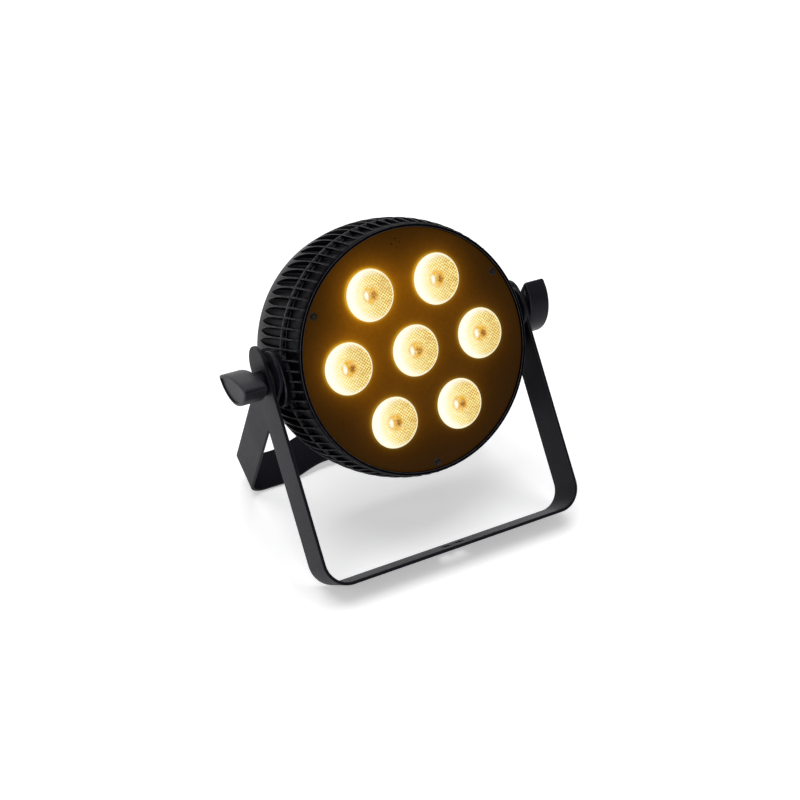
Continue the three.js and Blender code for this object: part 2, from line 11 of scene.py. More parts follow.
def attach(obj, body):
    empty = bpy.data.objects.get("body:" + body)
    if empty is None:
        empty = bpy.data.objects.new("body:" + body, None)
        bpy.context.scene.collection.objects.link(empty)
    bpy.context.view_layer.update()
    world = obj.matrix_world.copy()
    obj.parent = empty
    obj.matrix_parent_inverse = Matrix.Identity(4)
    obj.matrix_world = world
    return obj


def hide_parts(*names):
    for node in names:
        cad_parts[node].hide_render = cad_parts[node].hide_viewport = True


bl_info = {
    "name": "Par can light",
    "version": (1, 0, 0),
    "blender": (4, 5, 0),
    "location": "3D View > Sidebar > Par can",
    "description": "Models an LED par can light piece by piece on its packed frame",
    "category": "Object",
}

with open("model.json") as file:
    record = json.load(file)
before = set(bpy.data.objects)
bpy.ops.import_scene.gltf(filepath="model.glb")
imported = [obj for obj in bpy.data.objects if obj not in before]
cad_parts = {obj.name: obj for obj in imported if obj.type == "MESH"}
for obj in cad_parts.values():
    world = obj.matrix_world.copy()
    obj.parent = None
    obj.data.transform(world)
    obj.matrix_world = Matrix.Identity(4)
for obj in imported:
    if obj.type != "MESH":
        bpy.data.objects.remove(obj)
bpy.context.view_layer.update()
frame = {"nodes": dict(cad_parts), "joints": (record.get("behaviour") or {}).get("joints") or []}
NODES = frame["nodes"]

# ---- Placement ----


def joint(name):
    return next(j for j in frame["joints"] if j["name"] == name)


PIVOT = Vector(joint("head_tilt")["pos_m"])
BACKWARD = Vector(joint("fuse_cap_turn")["axis"])  # the way the head's back faces
HEAD_TILT = math.atan2(-BACKWARD.z, BACKWARD.y)
PIVOT_DEPTH = 37.0  # millimetres from the front ring's plane to the pivot
METRES = 0.001  # one millimetre


def about_pivot(angle):
    """A matrix from millimetres about the pivot, turned about X by an angle in radians, to the row frame."""
    return Matrix.Translation(PIVOT) @ Matrix.Rotation(angle, 4, "X") @ Matrix.Scale(METRES, 4)


HEAD = about_pivot(-HEAD_TILT) @ Matrix.Translation((0, -PIVOT_DEPTH, 0))
ALONG_X = Matrix.Rotation(math.radians(-90), 4, "Z")  # turns a shape's depth axis to +X
MIRROR_X = Matrix.Scale(-1, 4, (1, 0, 0))

# ---- Sizes of the fixed frame that the pieces follow, in millimetres ----

FINS = 80
HALF_PITCH = 3.85  # half a fin's spacing, measured at the crest
CREST_R, CREST_DEPTH = 98.0, 40.0
FRONT_ARCH = (98.0 - 92.9) / 40.0**2
REAR_ARCH = (98.0 - 93.3) / 42.0**2
FLOOR_R = 93.4
FIN_HALF = 0.52
LEAF_START, LEAF_END = 36.0, 72.0  # depths between which the rear pockets close to points
LEAF_SPREAD = 3.2  # how much a fin's half width grows there
POCKET_R = FLOOR_R - 0.4  # floor of the rear pockets
PARTING = 27.0
LENS_PITCH_R = 55.0
LENS_R = 18.7
LENS_OPENING_R = 19.15
SCREW_R, SCREW_ANGLES = 85.6, (30, 150, 270)
STUD_HOLE_R = 4.4
WASHER_R = 14.0
COVER_R = 71.4
COVER_INNER_FACE = 88.6
COVER_SCREW_R = 67.0
COVER_FACE = 90.6
FITTING_FACE = 90.9
SIGNAL_X, SIGNAL_Z = 27.0, -8.0
POWER_X, POWER_Z = 20.0, -44.0
DISPLAY_Z = 40.0
BUTTON_XS, BUTTON_Z = (-21, -7, 7, 21), 20.0
FUSE_Z = -44.0
EYE_Z = 58.0


def polar(radius, degrees):
    angle = math.radians(degrees)
    return (radius * math.cos(angle), radius * math.sin(angle))


LENSES = [(0.0, 0.0)] + [polar(LENS_PITCH_R, degrees) for degrees in range(0, 360, 60)]


class ParCanSizes(bpy.types.PropertyGroup):
    """Sizes of the finish that a maker may change."""

    fin_edge: bpy.props.FloatProperty(
        name="Fin edge", description="Bevel along each fin's outer edge",
        default=0.00026, min=0.0001, max=0.0006, unit="LENGTH",
    )
    rib_drop: bpy.props.FloatProperty(
        name="Rib drop", description="How far the thin rib round the fins lies below their crest",
        default=0.0006, min=0, max=0.002, unit="LENGTH",
    )
    bar_edge: bpy.props.FloatProperty(
        name="Bar edge", description="Rounding along the brackets' edges",
        default=0.00045, min=0.0001, max=0.001, unit="LENGTH",
    )
    knob_edge: bpy.props.FloatProperty(
        name="Knob edge", description="Rounding round the knobs' ends",
        default=0.0017, min=0.0003, max=0.003, unit="LENGTH",
    )
    lens_facet: bpy.props.FloatProperty(
        name="Lens facet", description="Spacing of the small pillows on a lens face",
        default=0.0018, min=0.001, max=0.004, unit="LENGTH",
    )
    coat_grain: bpy.props.FloatProperty(
        name="Coat grain", description="Size of the powder coat's grain",
        default=0.0007, min=0.0002, max=0.003, unit="LENGTH",
    )


class ParCanColours(bpy.types.PropertyGroup):
    """Colours of the finishes."""

    bracket: bpy.props.FloatVectorProperty(
        name="Bracket coat", description="Powder coat on both brackets",
        subtype="COLOR", size=4, min=0, max=1, default=(0.009, 0.0086, 0.0118, 1),
    )
    # darker than the coat really is: painted shade of the fins
    housing: bpy.props.FloatVectorProperty(
        name="Housing coat and painted fin shade", description="Coat on the finned castings, darkened as painted shade of the fins",
        subtype="COLOR", size=4, min=0, max=1, default=(0.0011, 0.0011, 0.002, 1),
    )
    knob: bpy.props.FloatVectorProperty(
        name="Knob plastic", description="Moulded plastic of the clamp knobs",
        subtype="COLOR", size=4, min=0, max=1, default=(0.010, 0.0102, 0.0125, 1),
    )
    panel: bpy.props.FloatVectorProperty(
        name="Front panel", description="Paint of the panel round the lenses",
        subtype="COLOR", size=4, min=0, max=1, default=(0.0012, 0.001, 0.0008, 1),
    )
    # the rubbed tone also serves as a painted highlight along convex edges
    worn_and_highlight: bpy.props.FloatVectorProperty(
        name="Rubbed and highlighted edge", description="Tone of the coat where edges are rubbed, also a painted highlight along edges",
        subtype="COLOR", size=4, min=0, max=1, default=(0.105, 0.104, 0.118, 1),
    )


# ---- Modelling helpers ----

MERGE = 0.002  # millimetres within which points are joined
# edges sharper than these angles get the rubbed tone, which is also a painted highlight
WEAR_AND_HIGHLIGHT_FROM, WEAR_AND_HIGHLIGHT_FULL = math.radians(26), math.radians(42)
SMOOTH_TO = math.radians(31)


def soften(points, size, closed=True, steps=2):
    """Rounds the corners of a line of points by a size, or by one size for each corner."""
    sizes = size if isinstance(size, (list, tuple)) else [size] * len(points)
    made = []
    for i, (x, y) in enumerate(points):
        here = Vector((x, y))
        if sizes[i] == 0 or (not closed and i in (0, len(points) - 1)):
            made.append(tuple(here))
            continue
        before = Vector(points[i - 1])
        after = Vector(points[(i + 1) % len(points)])
        reach = min(sizes[i], (before - here).length * 0.49, (after - here).length * 0.49)
        first = here + (before - here).normalized() * reach
        last = here + (after - here).normalized() * reach
        for k in range(steps + 1):
            t = k / steps
            point = first.lerp(here, t).lerp(here.lerp(last, t), t)
            made.append(tuple(point))
    return made


def arc(centre, radius, start, end, steps):
    """Points on an arc, with its angles in degrees."""
    angles = [math.radians(start + (end - start) * k / steps) for k in range(steps + 1)]
    return [(centre[0] + radius * math.cos(a), centre[1] + radius * math.sin(a)) for a in angles]


def circle(centre, radius, steps):
    return arc(centre, radius, 0, 360, steps)[:-1]


def rectangle(width, height, centre=(0, 0), radius=0.0):
    x, y = centre
    corners = [(x + a * width / 2, y + b * height / 2) for a, b in ((1, -1), (1, 1), (-1, 1), (-1, -1))]
    return soften(corners, radius, steps=5) if radius else corners


def inset(points, distance):
    """Moves a counter-clockwise outline inwards by a distance."""
    made = []
    for i, point in enumerate(points):
        here = Vector(point)
        along = (here - Vector(points[i - 1])).normalized()
        onward = (Vector(points[(i + 1) % len(points)]) - here).normalized()
        outward = Vector((along.y + onward.y, -along.x - onward.x)).normalized()
        slant = max(0.35, outward.dot(Vector((along.y, -along.x))))
        made.append(tuple(here - outward * (distance / slant)))
    return made


def merge(target, part, matrix=None):
    """Adds one bmesh to another and frees it."""
    mesh = bpy.data.meshes.new("part")
    part.to_mesh(mesh)
    part.free()
    if matrix is not None:
        mesh.transform(matrix)
    target.from_mesh(mesh)
    bpy.data.meshes.remove(mesh)


def turn(target, profile, centre=(0, 0), steps=48, matrix=None):
    """Spins a profile of (radius, depth) points about an axis along Y into a closed shape."""
    bm = bmesh.new()
    verts = [bm.verts.new((radius, depth, 0)) for radius, depth in profile]
    edges = [bm.edges.new(pair) for pair in zip(verts, verts[1:])]
    if profile[0][0] > MERGE or profile[-1][0] > MERGE:
        edges.append(bm.edges.new((verts[-1], verts[0])))
    bmesh.ops.spin(
        bm, geom=verts + edges, cent=(0, 0, 0), axis=(0, 1, 0), dvec=(0, 0, 0),
        angle=2 * math.pi, steps=steps, use_merge=True, use_duplicate=False,
    )
    bmesh.ops.remove_doubles(bm, verts=bm.verts, dist=MERGE)
    bmesh.ops.translate(bm, verts=bm.verts, vec=(centre[0], 0, centre[1]))
    merge(target, bm, matrix)


def walls(bm, rings):
    """Extrudes a ring of points through the rings that follow it. Returns the first and last edges."""
    order = bm.verts.layers.int.get("order") or bm.verts.layers.int.new("order")
    verts = [bm.verts.new(point) for point in rings[0]]
    for i, vert in enumerate(verts):
        vert[order] = i
    edges = [bm.edges.new((verts[i - 1], verts[i])) for i in range(len(verts))]
    first = edges
    for ring in rings[1:]:
        made = bmesh.ops.extrude_edge_only(bm, edges=edges)["geom"]
        for item in made:
            if isinstance(item, bmesh.types.BMVert):
                item.co = ring[item[order]]
        edges = [item for item in made if isinstance(item, bmesh.types.BMEdge)]
        edges = [e for e in edges if all(v.co == Vector(ring[v[order]]) for v in e.verts)]
    return first, edges


def close_ends(bm, *ends):
    """Fills open rings of edges and drops the layer that walls works with."""
    for edges in ends:
        bmesh.ops.triangle_fill(bm, edges=edges, use_beauty=True, use_dissolve=False)
    bm.verts.layers.int.remove(bm.verts.layers.int["order"])


ROUND = [(1 - math.sin(a), 1 - math.cos(a)) for a in (0, math.pi / 4, math.pi / 2)]


def plate(target, outline, low, high, edge, holes=(), matrix=None, hole_edge=None, cuts=None, bend=None):
    """A flat piece between two depths along Y, with rounded edges and holes. cuts are X positions that are
    cut across it, so that bend, which moves each point, can curve it."""
    bm = bmesh.new()
    tops, bottoms = [], []
    for side, points in [(1, outline)] + [(-1, hole) for hole in holes]:
        size = edge if side > 0 or hole_edge is None else hole_edge
        levels = [(size * a, low + size * b) for a, b in ROUND]
        levels += [(size * a, high - size * b) for a, b in reversed(ROUND)]
        rings = []
        for offset, depth in levels:
            rings.append([(x, depth, z) for x, z in inset(points, side * offset)])
        first, last = walls(bm, rings)
        tops += last
        bottoms += first
    for edges in (bottoms, tops):
        bmesh.ops.triangle_fill(bm, edges=edges, use_beauty=True, use_dissolve=False)
    for position in cuts or ():
        bmesh.ops.bisect_plane(
            bm, geom=bm.verts[:] + bm.edges[:] + bm.faces[:], dist=MERGE / 2,
            plane_co=(position, 0, 0), plane_no=(1, 0, 0),
        )
    if bend:
        for vert in bm.verts:
            vert.co = bend(*vert.co)
    bm.verts.layers.int.remove(bm.verts.layers.int["order"])
    merge(target, bm, matrix)


def block(target, size, centre, edge=0.3, segments=2, matrix=None):
    """A box with rounded edges."""
    bm = bmesh.new()
    bmesh.ops.create_cube(bm, size=1)
    bmesh.ops.scale(bm, vec=size, verts=bm.verts)
    if edge:
        bmesh.ops.bevel(
            bm, geom=bm.edges[:], offset=edge, offset_type="OFFSET", segments=segments,
            profile=0.5, affect="EDGES", material=-1, clamp_overlap=True,
        )
    bmesh.ops.translate(bm, verts=bm.verts, vec=centre)
    merge(target, bm, matrix)


def make_piece(bm, name, body, finish, stands_for=(), matrix=HEAD, smooth=SMOOTH_TO, weighted=False):
    """Closes the mesh, marks its convex edges for rubbing and a painted highlight, puts it in the row frame
    and hangs it on its body.

    finish is a finish's name, or a material.
    """
    bmesh.ops.remove_doubles(bm, verts=bm.verts, dist=MERGE)
    bmesh.ops.dissolve_degenerate(bm, edges=bm.edges, dist=MERGE / 4)
    bmesh.ops.recalc_face_normals(bm, faces=bm.faces)
    # the edge mask drives both rubbing and a painted highlight on convex edges
    wear_and_highlight = bm.verts.layers.float.new("edge")
    for edge in bm.edges:
        angle = edge.calc_face_angle_signed(0.0)
        edge.smooth = abs(angle) < smooth
        if angle > WEAR_AND_HIGHLIGHT_FROM:
            amount = min(1.0, (angle - WEAR_AND_HIGHLIGHT_FROM) / (WEAR_AND_HIGHLIGHT_FULL - WEAR_AND_HIGHLIGHT_FROM))
            for vert in edge.verts:
                vert[wear_and_highlight] = max(vert[wear_and_highlight], amount)
    for face in bm.faces:
        face.smooth = True
    bmesh.ops.transform(bm, matrix=matrix, verts=bm.verts)
    mesh = bpy.data.meshes.new(name)
    bm.to_mesh(mesh)
    bm.free()
    mesh.materials.append(material_for(finish) if isinstance(finish, str) else finish)
    piece = bpy.data.objects.new(name, mesh)
    bpy.context.scene.collection.objects.link(piece)
    if weighted:
        normals = piece.modifiers.new("Face normals", "WEIGHTED_NORMAL")
        normals.keep_sharp = True
    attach(piece, body)
    if stands_for:
        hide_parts(*stands_for)
    return piece


# ---- Material helpers ----


def group_tree(name, inputs, outputs):
    """An empty shader node group with named float, vector or colour sockets."""
    kinds = {"value": "NodeSocketFloat", "vector": "NodeSocketVector", "colour": "NodeSocketColor"}
    tree = bpy.data.node_groups.new(name, "ShaderNodeTree")
    for label, kind, default in inputs:
        socket = tree.interface.new_socket(label, in_out="INPUT", socket_type=kinds[kind])
        if default is not None:
            socket.default_value = default
    for label, kind in outputs:
        tree.interface.new_socket(label, in_out="OUTPUT", socket_type=kinds[kind])
    return tree, tree.nodes.new("NodeGroupInput"), tree.nodes.new("NodeGroupOutput")


def connect(tree, source, target):
    """Links a socket to an input, or sets the input if the source is a plain value."""
    if isinstance(source, bpy.types.NodeSocket):
        tree.links.new(source, target)
    else:
        target.default_value = source


def maths(tree, operation, *values, clamp=False):
    node = tree.nodes.new("ShaderNodeMath")
    node.operation, node.use_clamp = operation, clamp
    for socket, value in zip(node.inputs, values):
        connect(tree, value, socket)
    return node.outputs[0]


def smoothly(tree, value, low, high, out_low=0.0, out_high=1.0):
    """Maps a value from low..high to out_low..out_high with soft ends."""
    node = tree.nodes.new("ShaderNodeMapRange")
    node.interpolation_type = "SMOOTHSTEP"
    for socket, number in zip(node.inputs, (value, low, high, out_low, out_high)):
        connect(tree, number, socket)
    return node.outputs[0]


def blend_colours(tree, amount, first, second, kind="MIX"):
    node = tree.nodes.new("ShaderNodeMix")
    node.data_type, node.blend_type = "RGBA", kind
    connect(tree, amount, node.inputs[0])
    connect(tree, first, node.inputs[6])
    connect(tree, second, node.inputs[7])
    return node.outputs[2]


def noise(tree, vector, scale, detail=2.0, roughness=0.5):
    node = tree.nodes.new("ShaderNodeTexNoise")
    connect(tree, vector, node.inputs["Vector"])
    connect(tree, scale, node.inputs["Scale"])
    node.inputs["Detail"].default_value = detail
    node.inputs["Roughness"].default_value = roughness
    return node.outputs["Fac"]


def vector_maths(tree, operation, first, second=None):
    """A vector node between a linked vector and a constant one. Returns the node."""
    node = tree.nodes.new("ShaderNodeVectorMath")
    node.operation = operation
    connect(tree, first, node.inputs[0])
    if second is not None:
        node.inputs[1].default_value = second
    return node


def split_axes(tree, vector):
    """The X, Y and Z outputs of a vector."""
    node = tree.nodes.new("ShaderNodeSeparateXYZ")
    connect(tree, vector, node.inputs[0])
    return node.outputs


def emboss(tree, shader, height, strength, depth):
    """Drives the shader's normal with a height, of a depth in millimetres."""
    bump = tree.nodes.new("ShaderNodeBump")
    bump.inputs["Strength"].default_value = strength
    bump.inputs["Distance"].default_value = depth * METRES
    connect(tree, height, bump.inputs["Height"])
    connect(tree, bump.outputs["Normal"], shader.inputs["Normal"])


def use_group(tree, group, **values):
    node = tree.nodes.new("ShaderNodeGroup")
    node.node_tree = group
    for label, value in values.items():
        connect(tree, value, node.inputs[label.replace("_", " ")])
    return node


def grain_group():
    """Fine orange-peel grain: a height for the bump and a tone for the roughness."""
    tree, start, end = group_tree(
        "Coat grain",
        [("Vector", "vector", None), ("Size", "value", 0.7), ("Softness", "value", 0.5)],
        [("Height", "value"), ("Tone", "value")],
    )
    scale = maths(tree, "DIVIDE", 1.0, start.outputs["Size"])
    fine = noise(tree, start.outputs["Vector"], scale, 3.0, 0.6)
    broad = noise(tree, start.outputs["Vector"], maths(tree, "MULTIPLY", scale, 0.31), 2.0)
    kept = maths(tree, "SUBTRACT", 1.0, start.outputs["Softness"])
    height = maths(
        tree, "ADD", maths(tree, "MULTIPLY", fine, kept),
        maths(tree, "MULTIPLY", broad, start.outputs["Softness"]),
    )
    tree.links.new(height, end.inputs["Height"])
    tree.links.new(smoothly(tree, fine, 0.35, 0.68), end.inputs["Tone"])
    return tree


def rubbing_and_highlight_group():
    """Edges that are rubbed and also brightened by a painted highlight: the mesh's edge mask, broken up by a
    patchy noise.
    """
    tree, start, end = group_tree(
        "Rubbed and highlighted edges",
        [("Vector", "vector", None), ("Edge", "value", 0.0), ("Amount", "value", 0.5)],
        [("Mask", "value")],
    )
    patches = smoothly(tree, noise(tree, start.outputs["Vector"], 0.22, 3.0, 0.65), 0.3, 0.7, 0.45, 1.0)
    edge = smoothly(tree, start.outputs["Edge"], 0.25, 1.0)
    mask = maths(tree, "MULTIPLY", maths(tree, "MULTIPLY", edge, patches), start.outputs["Amount"])
    tree.links.new(mask, end.inputs["Mask"])
    return tree


def handling_group():
    """Broad marks of handling and dust: tone and roughness vary slowly, with a few fine specks."""
    tree, start, end = group_tree(
        "Handling marks",
        [("Vector", "vector", None), ("Roughness", "value", 0.5), ("Spread", "value", 0.1)],
        [("Roughness", "value"), ("Dust", "value")],
    )
    broad = noise(tree, start.outputs["Vector"], 0.035, 4.0, 0.6)
    varied = maths(tree, "MULTIPLY", maths(tree, "SUBTRACT", broad, 0.5), start.outputs["Spread"])
    tree.links.new(maths(tree, "ADD", start.outputs["Roughness"], varied), end.inputs["Roughness"])
    specks = smoothly(tree, noise(tree, start.outputs["Vector"], 1.9, 2.0), 0.71, 0.78)
    film = smoothly(tree, broad, 0.5, 0.8, 0.0, 0.35)
    tree.links.new(maths(tree, "MAXIMUM", specks, film), end.inputs["Dust"])
    return tree


GROUPS = {}


def shared(name):
    """The shared node groups, each built once."""
    makers = {"grain": grain_group, "wear_and_highlight": rubbing_and_highlight_group, "handling": handling_group}
    if name not in GROUPS:
        GROUPS[name] = makers[name]()
    return GROUPS[name]


def new_material(name, **sockets):
    """A material with a Principled shader. Sockets are constant values set on the shader itself."""
    material = bpy.data.materials.new(name)
    material.use_nodes = True
    tree = material.node_tree
    shader = next(n for n in tree.nodes if n.type == "BSDF_PRINCIPLED")
    for label, value in sockets.items():
        shader.inputs[label.replace("_", " ")].default_value = value
    return material, tree, shader


def object_vector(tree, centre=(0, 0, 0)):
    """Object coordinates turned into the head's own axes, in millimetres, about a point (x, depth, z)."""
    source = tree.nodes.new("ShaderNodeTexCoord")
    mapping = tree.nodes.new("ShaderNodeMapping")
    turned = Matrix.Rotation(HEAD_TILT, 4, "X") @ PIVOT
    x, depth, z = centre
    offset = turned / METRES + Vector((x, depth - PIVOT_DEPTH, z))
    mapping.inputs["Scale"].default_value = (1 / METRES,) * 3
    mapping.inputs["Rotation"].default_value = (HEAD_TILT, 0, 0)
    mapping.inputs["Location"].default_value = -offset
    tree.links.new(source.outputs["Object"], mapping.inputs["Vector"])
    return mapping.outputs["Vector"]


def edge_value(tree):
    node = tree.nodes.new("ShaderNodeAttribute")
    node.attribute_name = "edge"
    return node.outputs["Fac"]


DUST = (0.05, 0.048, 0.047, 1)
SHOULDER = (68.0, 80.0)  # depths over which the castings' coat turns from its front tone, darkened as painted shade of the fins, to its shoulder tone
COOL = (0.86, 0.84, 1.0, 1)  # the slightly violet cast of the coats' shine


def coated(name, colour, worn_and_highlight, roughness=0.5, spread=0.14, size=0.7, depth=0.03, wear_and_highlight=0.6, dust=0.12,
           softness=0.5, behind=None, **sockets):
    """A coat or moulded surface with grain, handling marks, faint dust, and rubbed edges that also carry a
    painted highlight.

    A colour given as behind takes over on the head's smooth shoulder, from a front colour darkened as
    painted shade.
    """
    material, tree, shader = new_material(name, **sockets)
    vector = object_vector(tree)
    grain = use_group(tree, shared("grain"), Vector=vector, Size=size, Softness=softness)
    marks = use_group(tree, shared("handling"), Vector=vector, Roughness=roughness, Spread=spread)
    mask = use_group(tree, shared("wear_and_highlight"), Vector=vector, Edge=edge_value(tree), Amount=wear_and_highlight).outputs["Mask"]
    tone = maths(tree, "MULTIPLY", marks.outputs["Dust"], dust)
    # in front of the shoulder the colour is darker, painted shade of the fins
    if behind:
        depth_here = split_axes(tree, vector)["Y"]
        colour = blend_colours(tree, smoothly(tree, depth_here, *SHOULDER), colour, behind)
    base = blend_colours(tree, tone, colour, DUST)
    toned = blend_colours(tree, maths(tree, "MULTIPLY", grain.outputs["Tone"], 0.35), base, (0, 0, 0, 1))
    # convex edges take the rubbed tone, which is also a painted highlight on them
    connect(tree, blend_colours(tree, mask, toned, worn_and_highlight), shader.inputs["Base Color"])
    rougher = maths(tree, "MULTIPLY", grain.outputs["Tone"], 0.07)
    connect(tree, maths(tree, "ADD", marks.outputs["Roughness"], rougher), shader.inputs["Roughness"])
    emboss(tree, shader, grain.outputs["Height"], 0.6, depth)
    return material


def metal(name, colour, roughness, stretch=(1, 1, 1)):
    """Bare metal with fine drawn lines and stains."""
    material, tree, shader = new_material(name, Metallic=1.0)
    vector = object_vector(tree)
    marks = use_group(tree, shared("handling"), Vector=vector, Roughness=roughness, Spread=0.3)
    scaled = tree.nodes.new("ShaderNodeMapping")
    scaled.inputs["Scale"].default_value = stretch
    connect(tree, vector, scaled.inputs["Vector"])
    lines = noise(tree, scaled.outputs["Vector"], 3.0, 3.0)
    darker = tuple(c * 0.55 for c in colour[:3]) + (1,)
    drawn = blend_colours(tree, smoothly(tree, lines, 0.3, 0.7), darker, colour)
    connect(tree, drawn, shader.inputs["Base Color"])
    connect(tree, marks.outputs["Roughness"], shader.inputs["Roughness"])
    emboss(tree, shader, lines, 0.4, 0.02)
    return material


def lens_distances(tree, vector, offset):
    """The distance from each lens's edge, with the lenses offset, and that from the middle of the face."""
    flat = vector_maths(tree, "MULTIPLY", vector, (1, 0, 1)).outputs[0]
    found = []
    for x, z in LENSES:
        centre = (x + offset[0], 0, z + offset[1])
        found.append(vector_maths(tree, "DISTANCE", flat, centre).outputs["Value"])
    return [maths(tree, "SUBTRACT", d, LENS_R + 0.4) for d in found], found[0]


SPILL = {"Red": (0.23, 0.115, 0.026), "Green": (0.13, 0.038, 0.0095), "Blue": (0.005, 0.0003, 0.0004)}
SPILL_REACH = ((1.0, (-1.2, 0.6)), (9.6, (0, 0)))  # how far each spill carries, and how far it is offset
SPILL_LEAN = (-0.0078, 0.0118)  # how fast the spill grows per millimetre to the right and upwards
SPILL_FADE = -0.02  # how fast it falls per millimetre outside the lens circle


def glow_group():
    """Painted light: warm spill on the face round the seven lenses, stronger to the upper left."""
    tree, start, end = group_tree("Lens spill", [("Vector", "vector", None)], [("Colour", "colour")])
    sums = []
    for reach, offset in SPILL_REACH:
        edges, middle = lens_distances(tree, start.outputs["Vector"], offset)
        total = 0.0
        for distance in edges:
            away = maths(tree, "MULTIPLY", maths(tree, "MAXIMUM", distance, 0.0), -1.0 / reach)
            total = maths(tree, "ADD", maths(tree, "EXPONENT", away), total)
        sums.append(total)
    axes = split_axes(tree, start.outputs["Vector"])
    lean = maths(tree, "ADD", maths(tree, "MULTIPLY", axes["X"], SPILL_LEAN[0]),
                 maths(tree, "MULTIPLY", axes["Z"], SPILL_LEAN[1]))
    past = maths(tree, "MAXIMUM", maths(tree, "SUBTRACT", middle, LENS_PITCH_R), 0.0)
    outward = maths(tree, "MULTIPLY", past, SPILL_FADE)
    gain = maths(tree, "EXPONENT", maths(tree, "ADD", lean, outward))
    combine = tree.nodes.new("ShaderNodeCombineColor")
    for label, (near, wide, least) in SPILL.items():
        close = maths(tree, "MULTIPLY", sums[0], near)
        value = maths(tree, "ADD", close, maths(tree, "MULTIPLY", sums[1], wide))
        connect(tree, maths(tree, "ADD", maths(tree, "MULTIPLY", value, gain), least), combine.inputs[label])
    connect(tree, combine.outputs[0], end.inputs["Colour"])
    return tree


PANEL_DUST = (0.004, 0.0035, 0.003, 1)


def panel_material(colours):
    """Satin black paint with the lenses' warm spill painted on it as emission."""
    material, tree, shader = new_material("Panel paint and painted lens spill", Emission_Strength=1.0, Specular_IOR_Level=0.03)
    vector = object_vector(tree)
    marks = use_group(tree, shared("handling"), Vector=vector, Roughness=0.5, Spread=0.15)
    grain = use_group(tree, shared("grain"), Vector=vector, Size=0.8, Softness=0.4)
    glow = use_group(tree, glow_group(), Vector=vector)
    base = blend_colours(tree, marks.outputs["Dust"], tuple(colours.panel), PANEL_DUST)
    connect(tree, base, shader.inputs["Base Color"])
    connect(tree, marks.outputs["Roughness"], shader.inputs["Roughness"])
    mottled = smoothly(tree, grain.outputs["Height"], 0.3, 0.7, 0.9, 1.1)
    shade = tree.nodes.new("ShaderNodeCombineColor")
    for socket in shade.inputs:
        connect(tree, mottled, socket)
    spill = blend_colours(tree, 1.0, glow.outputs["Colour"], shade.outputs[0], "MULTIPLY")
    # the lenses' spill is painted on as the panel's own glow
    connect(tree, spill, shader.inputs["Emission Color"])
    emboss(tree, shader, grain.outputs["Height"], 0.5, 0.03)
    return material


def spot(tree, vector, centre, size, softness):
    """A soft mask about a point in a lens, squeezed by a size for each direction."""
    away = vector_maths(tree, "SUBTRACT", vector, (centre[0], 0, centre[1])).outputs[0]
    scaled = vector_maths(tree, "MULTIPLY", away, (1 / size[0], 0, 1 / size[1])).outputs[0]
    length = vector_maths(tree, "LENGTH", scaled).outputs["Value"]
    return smoothly(tree, length, 1.0 - softness, 1.0 + softness, 1.0, 0.0)


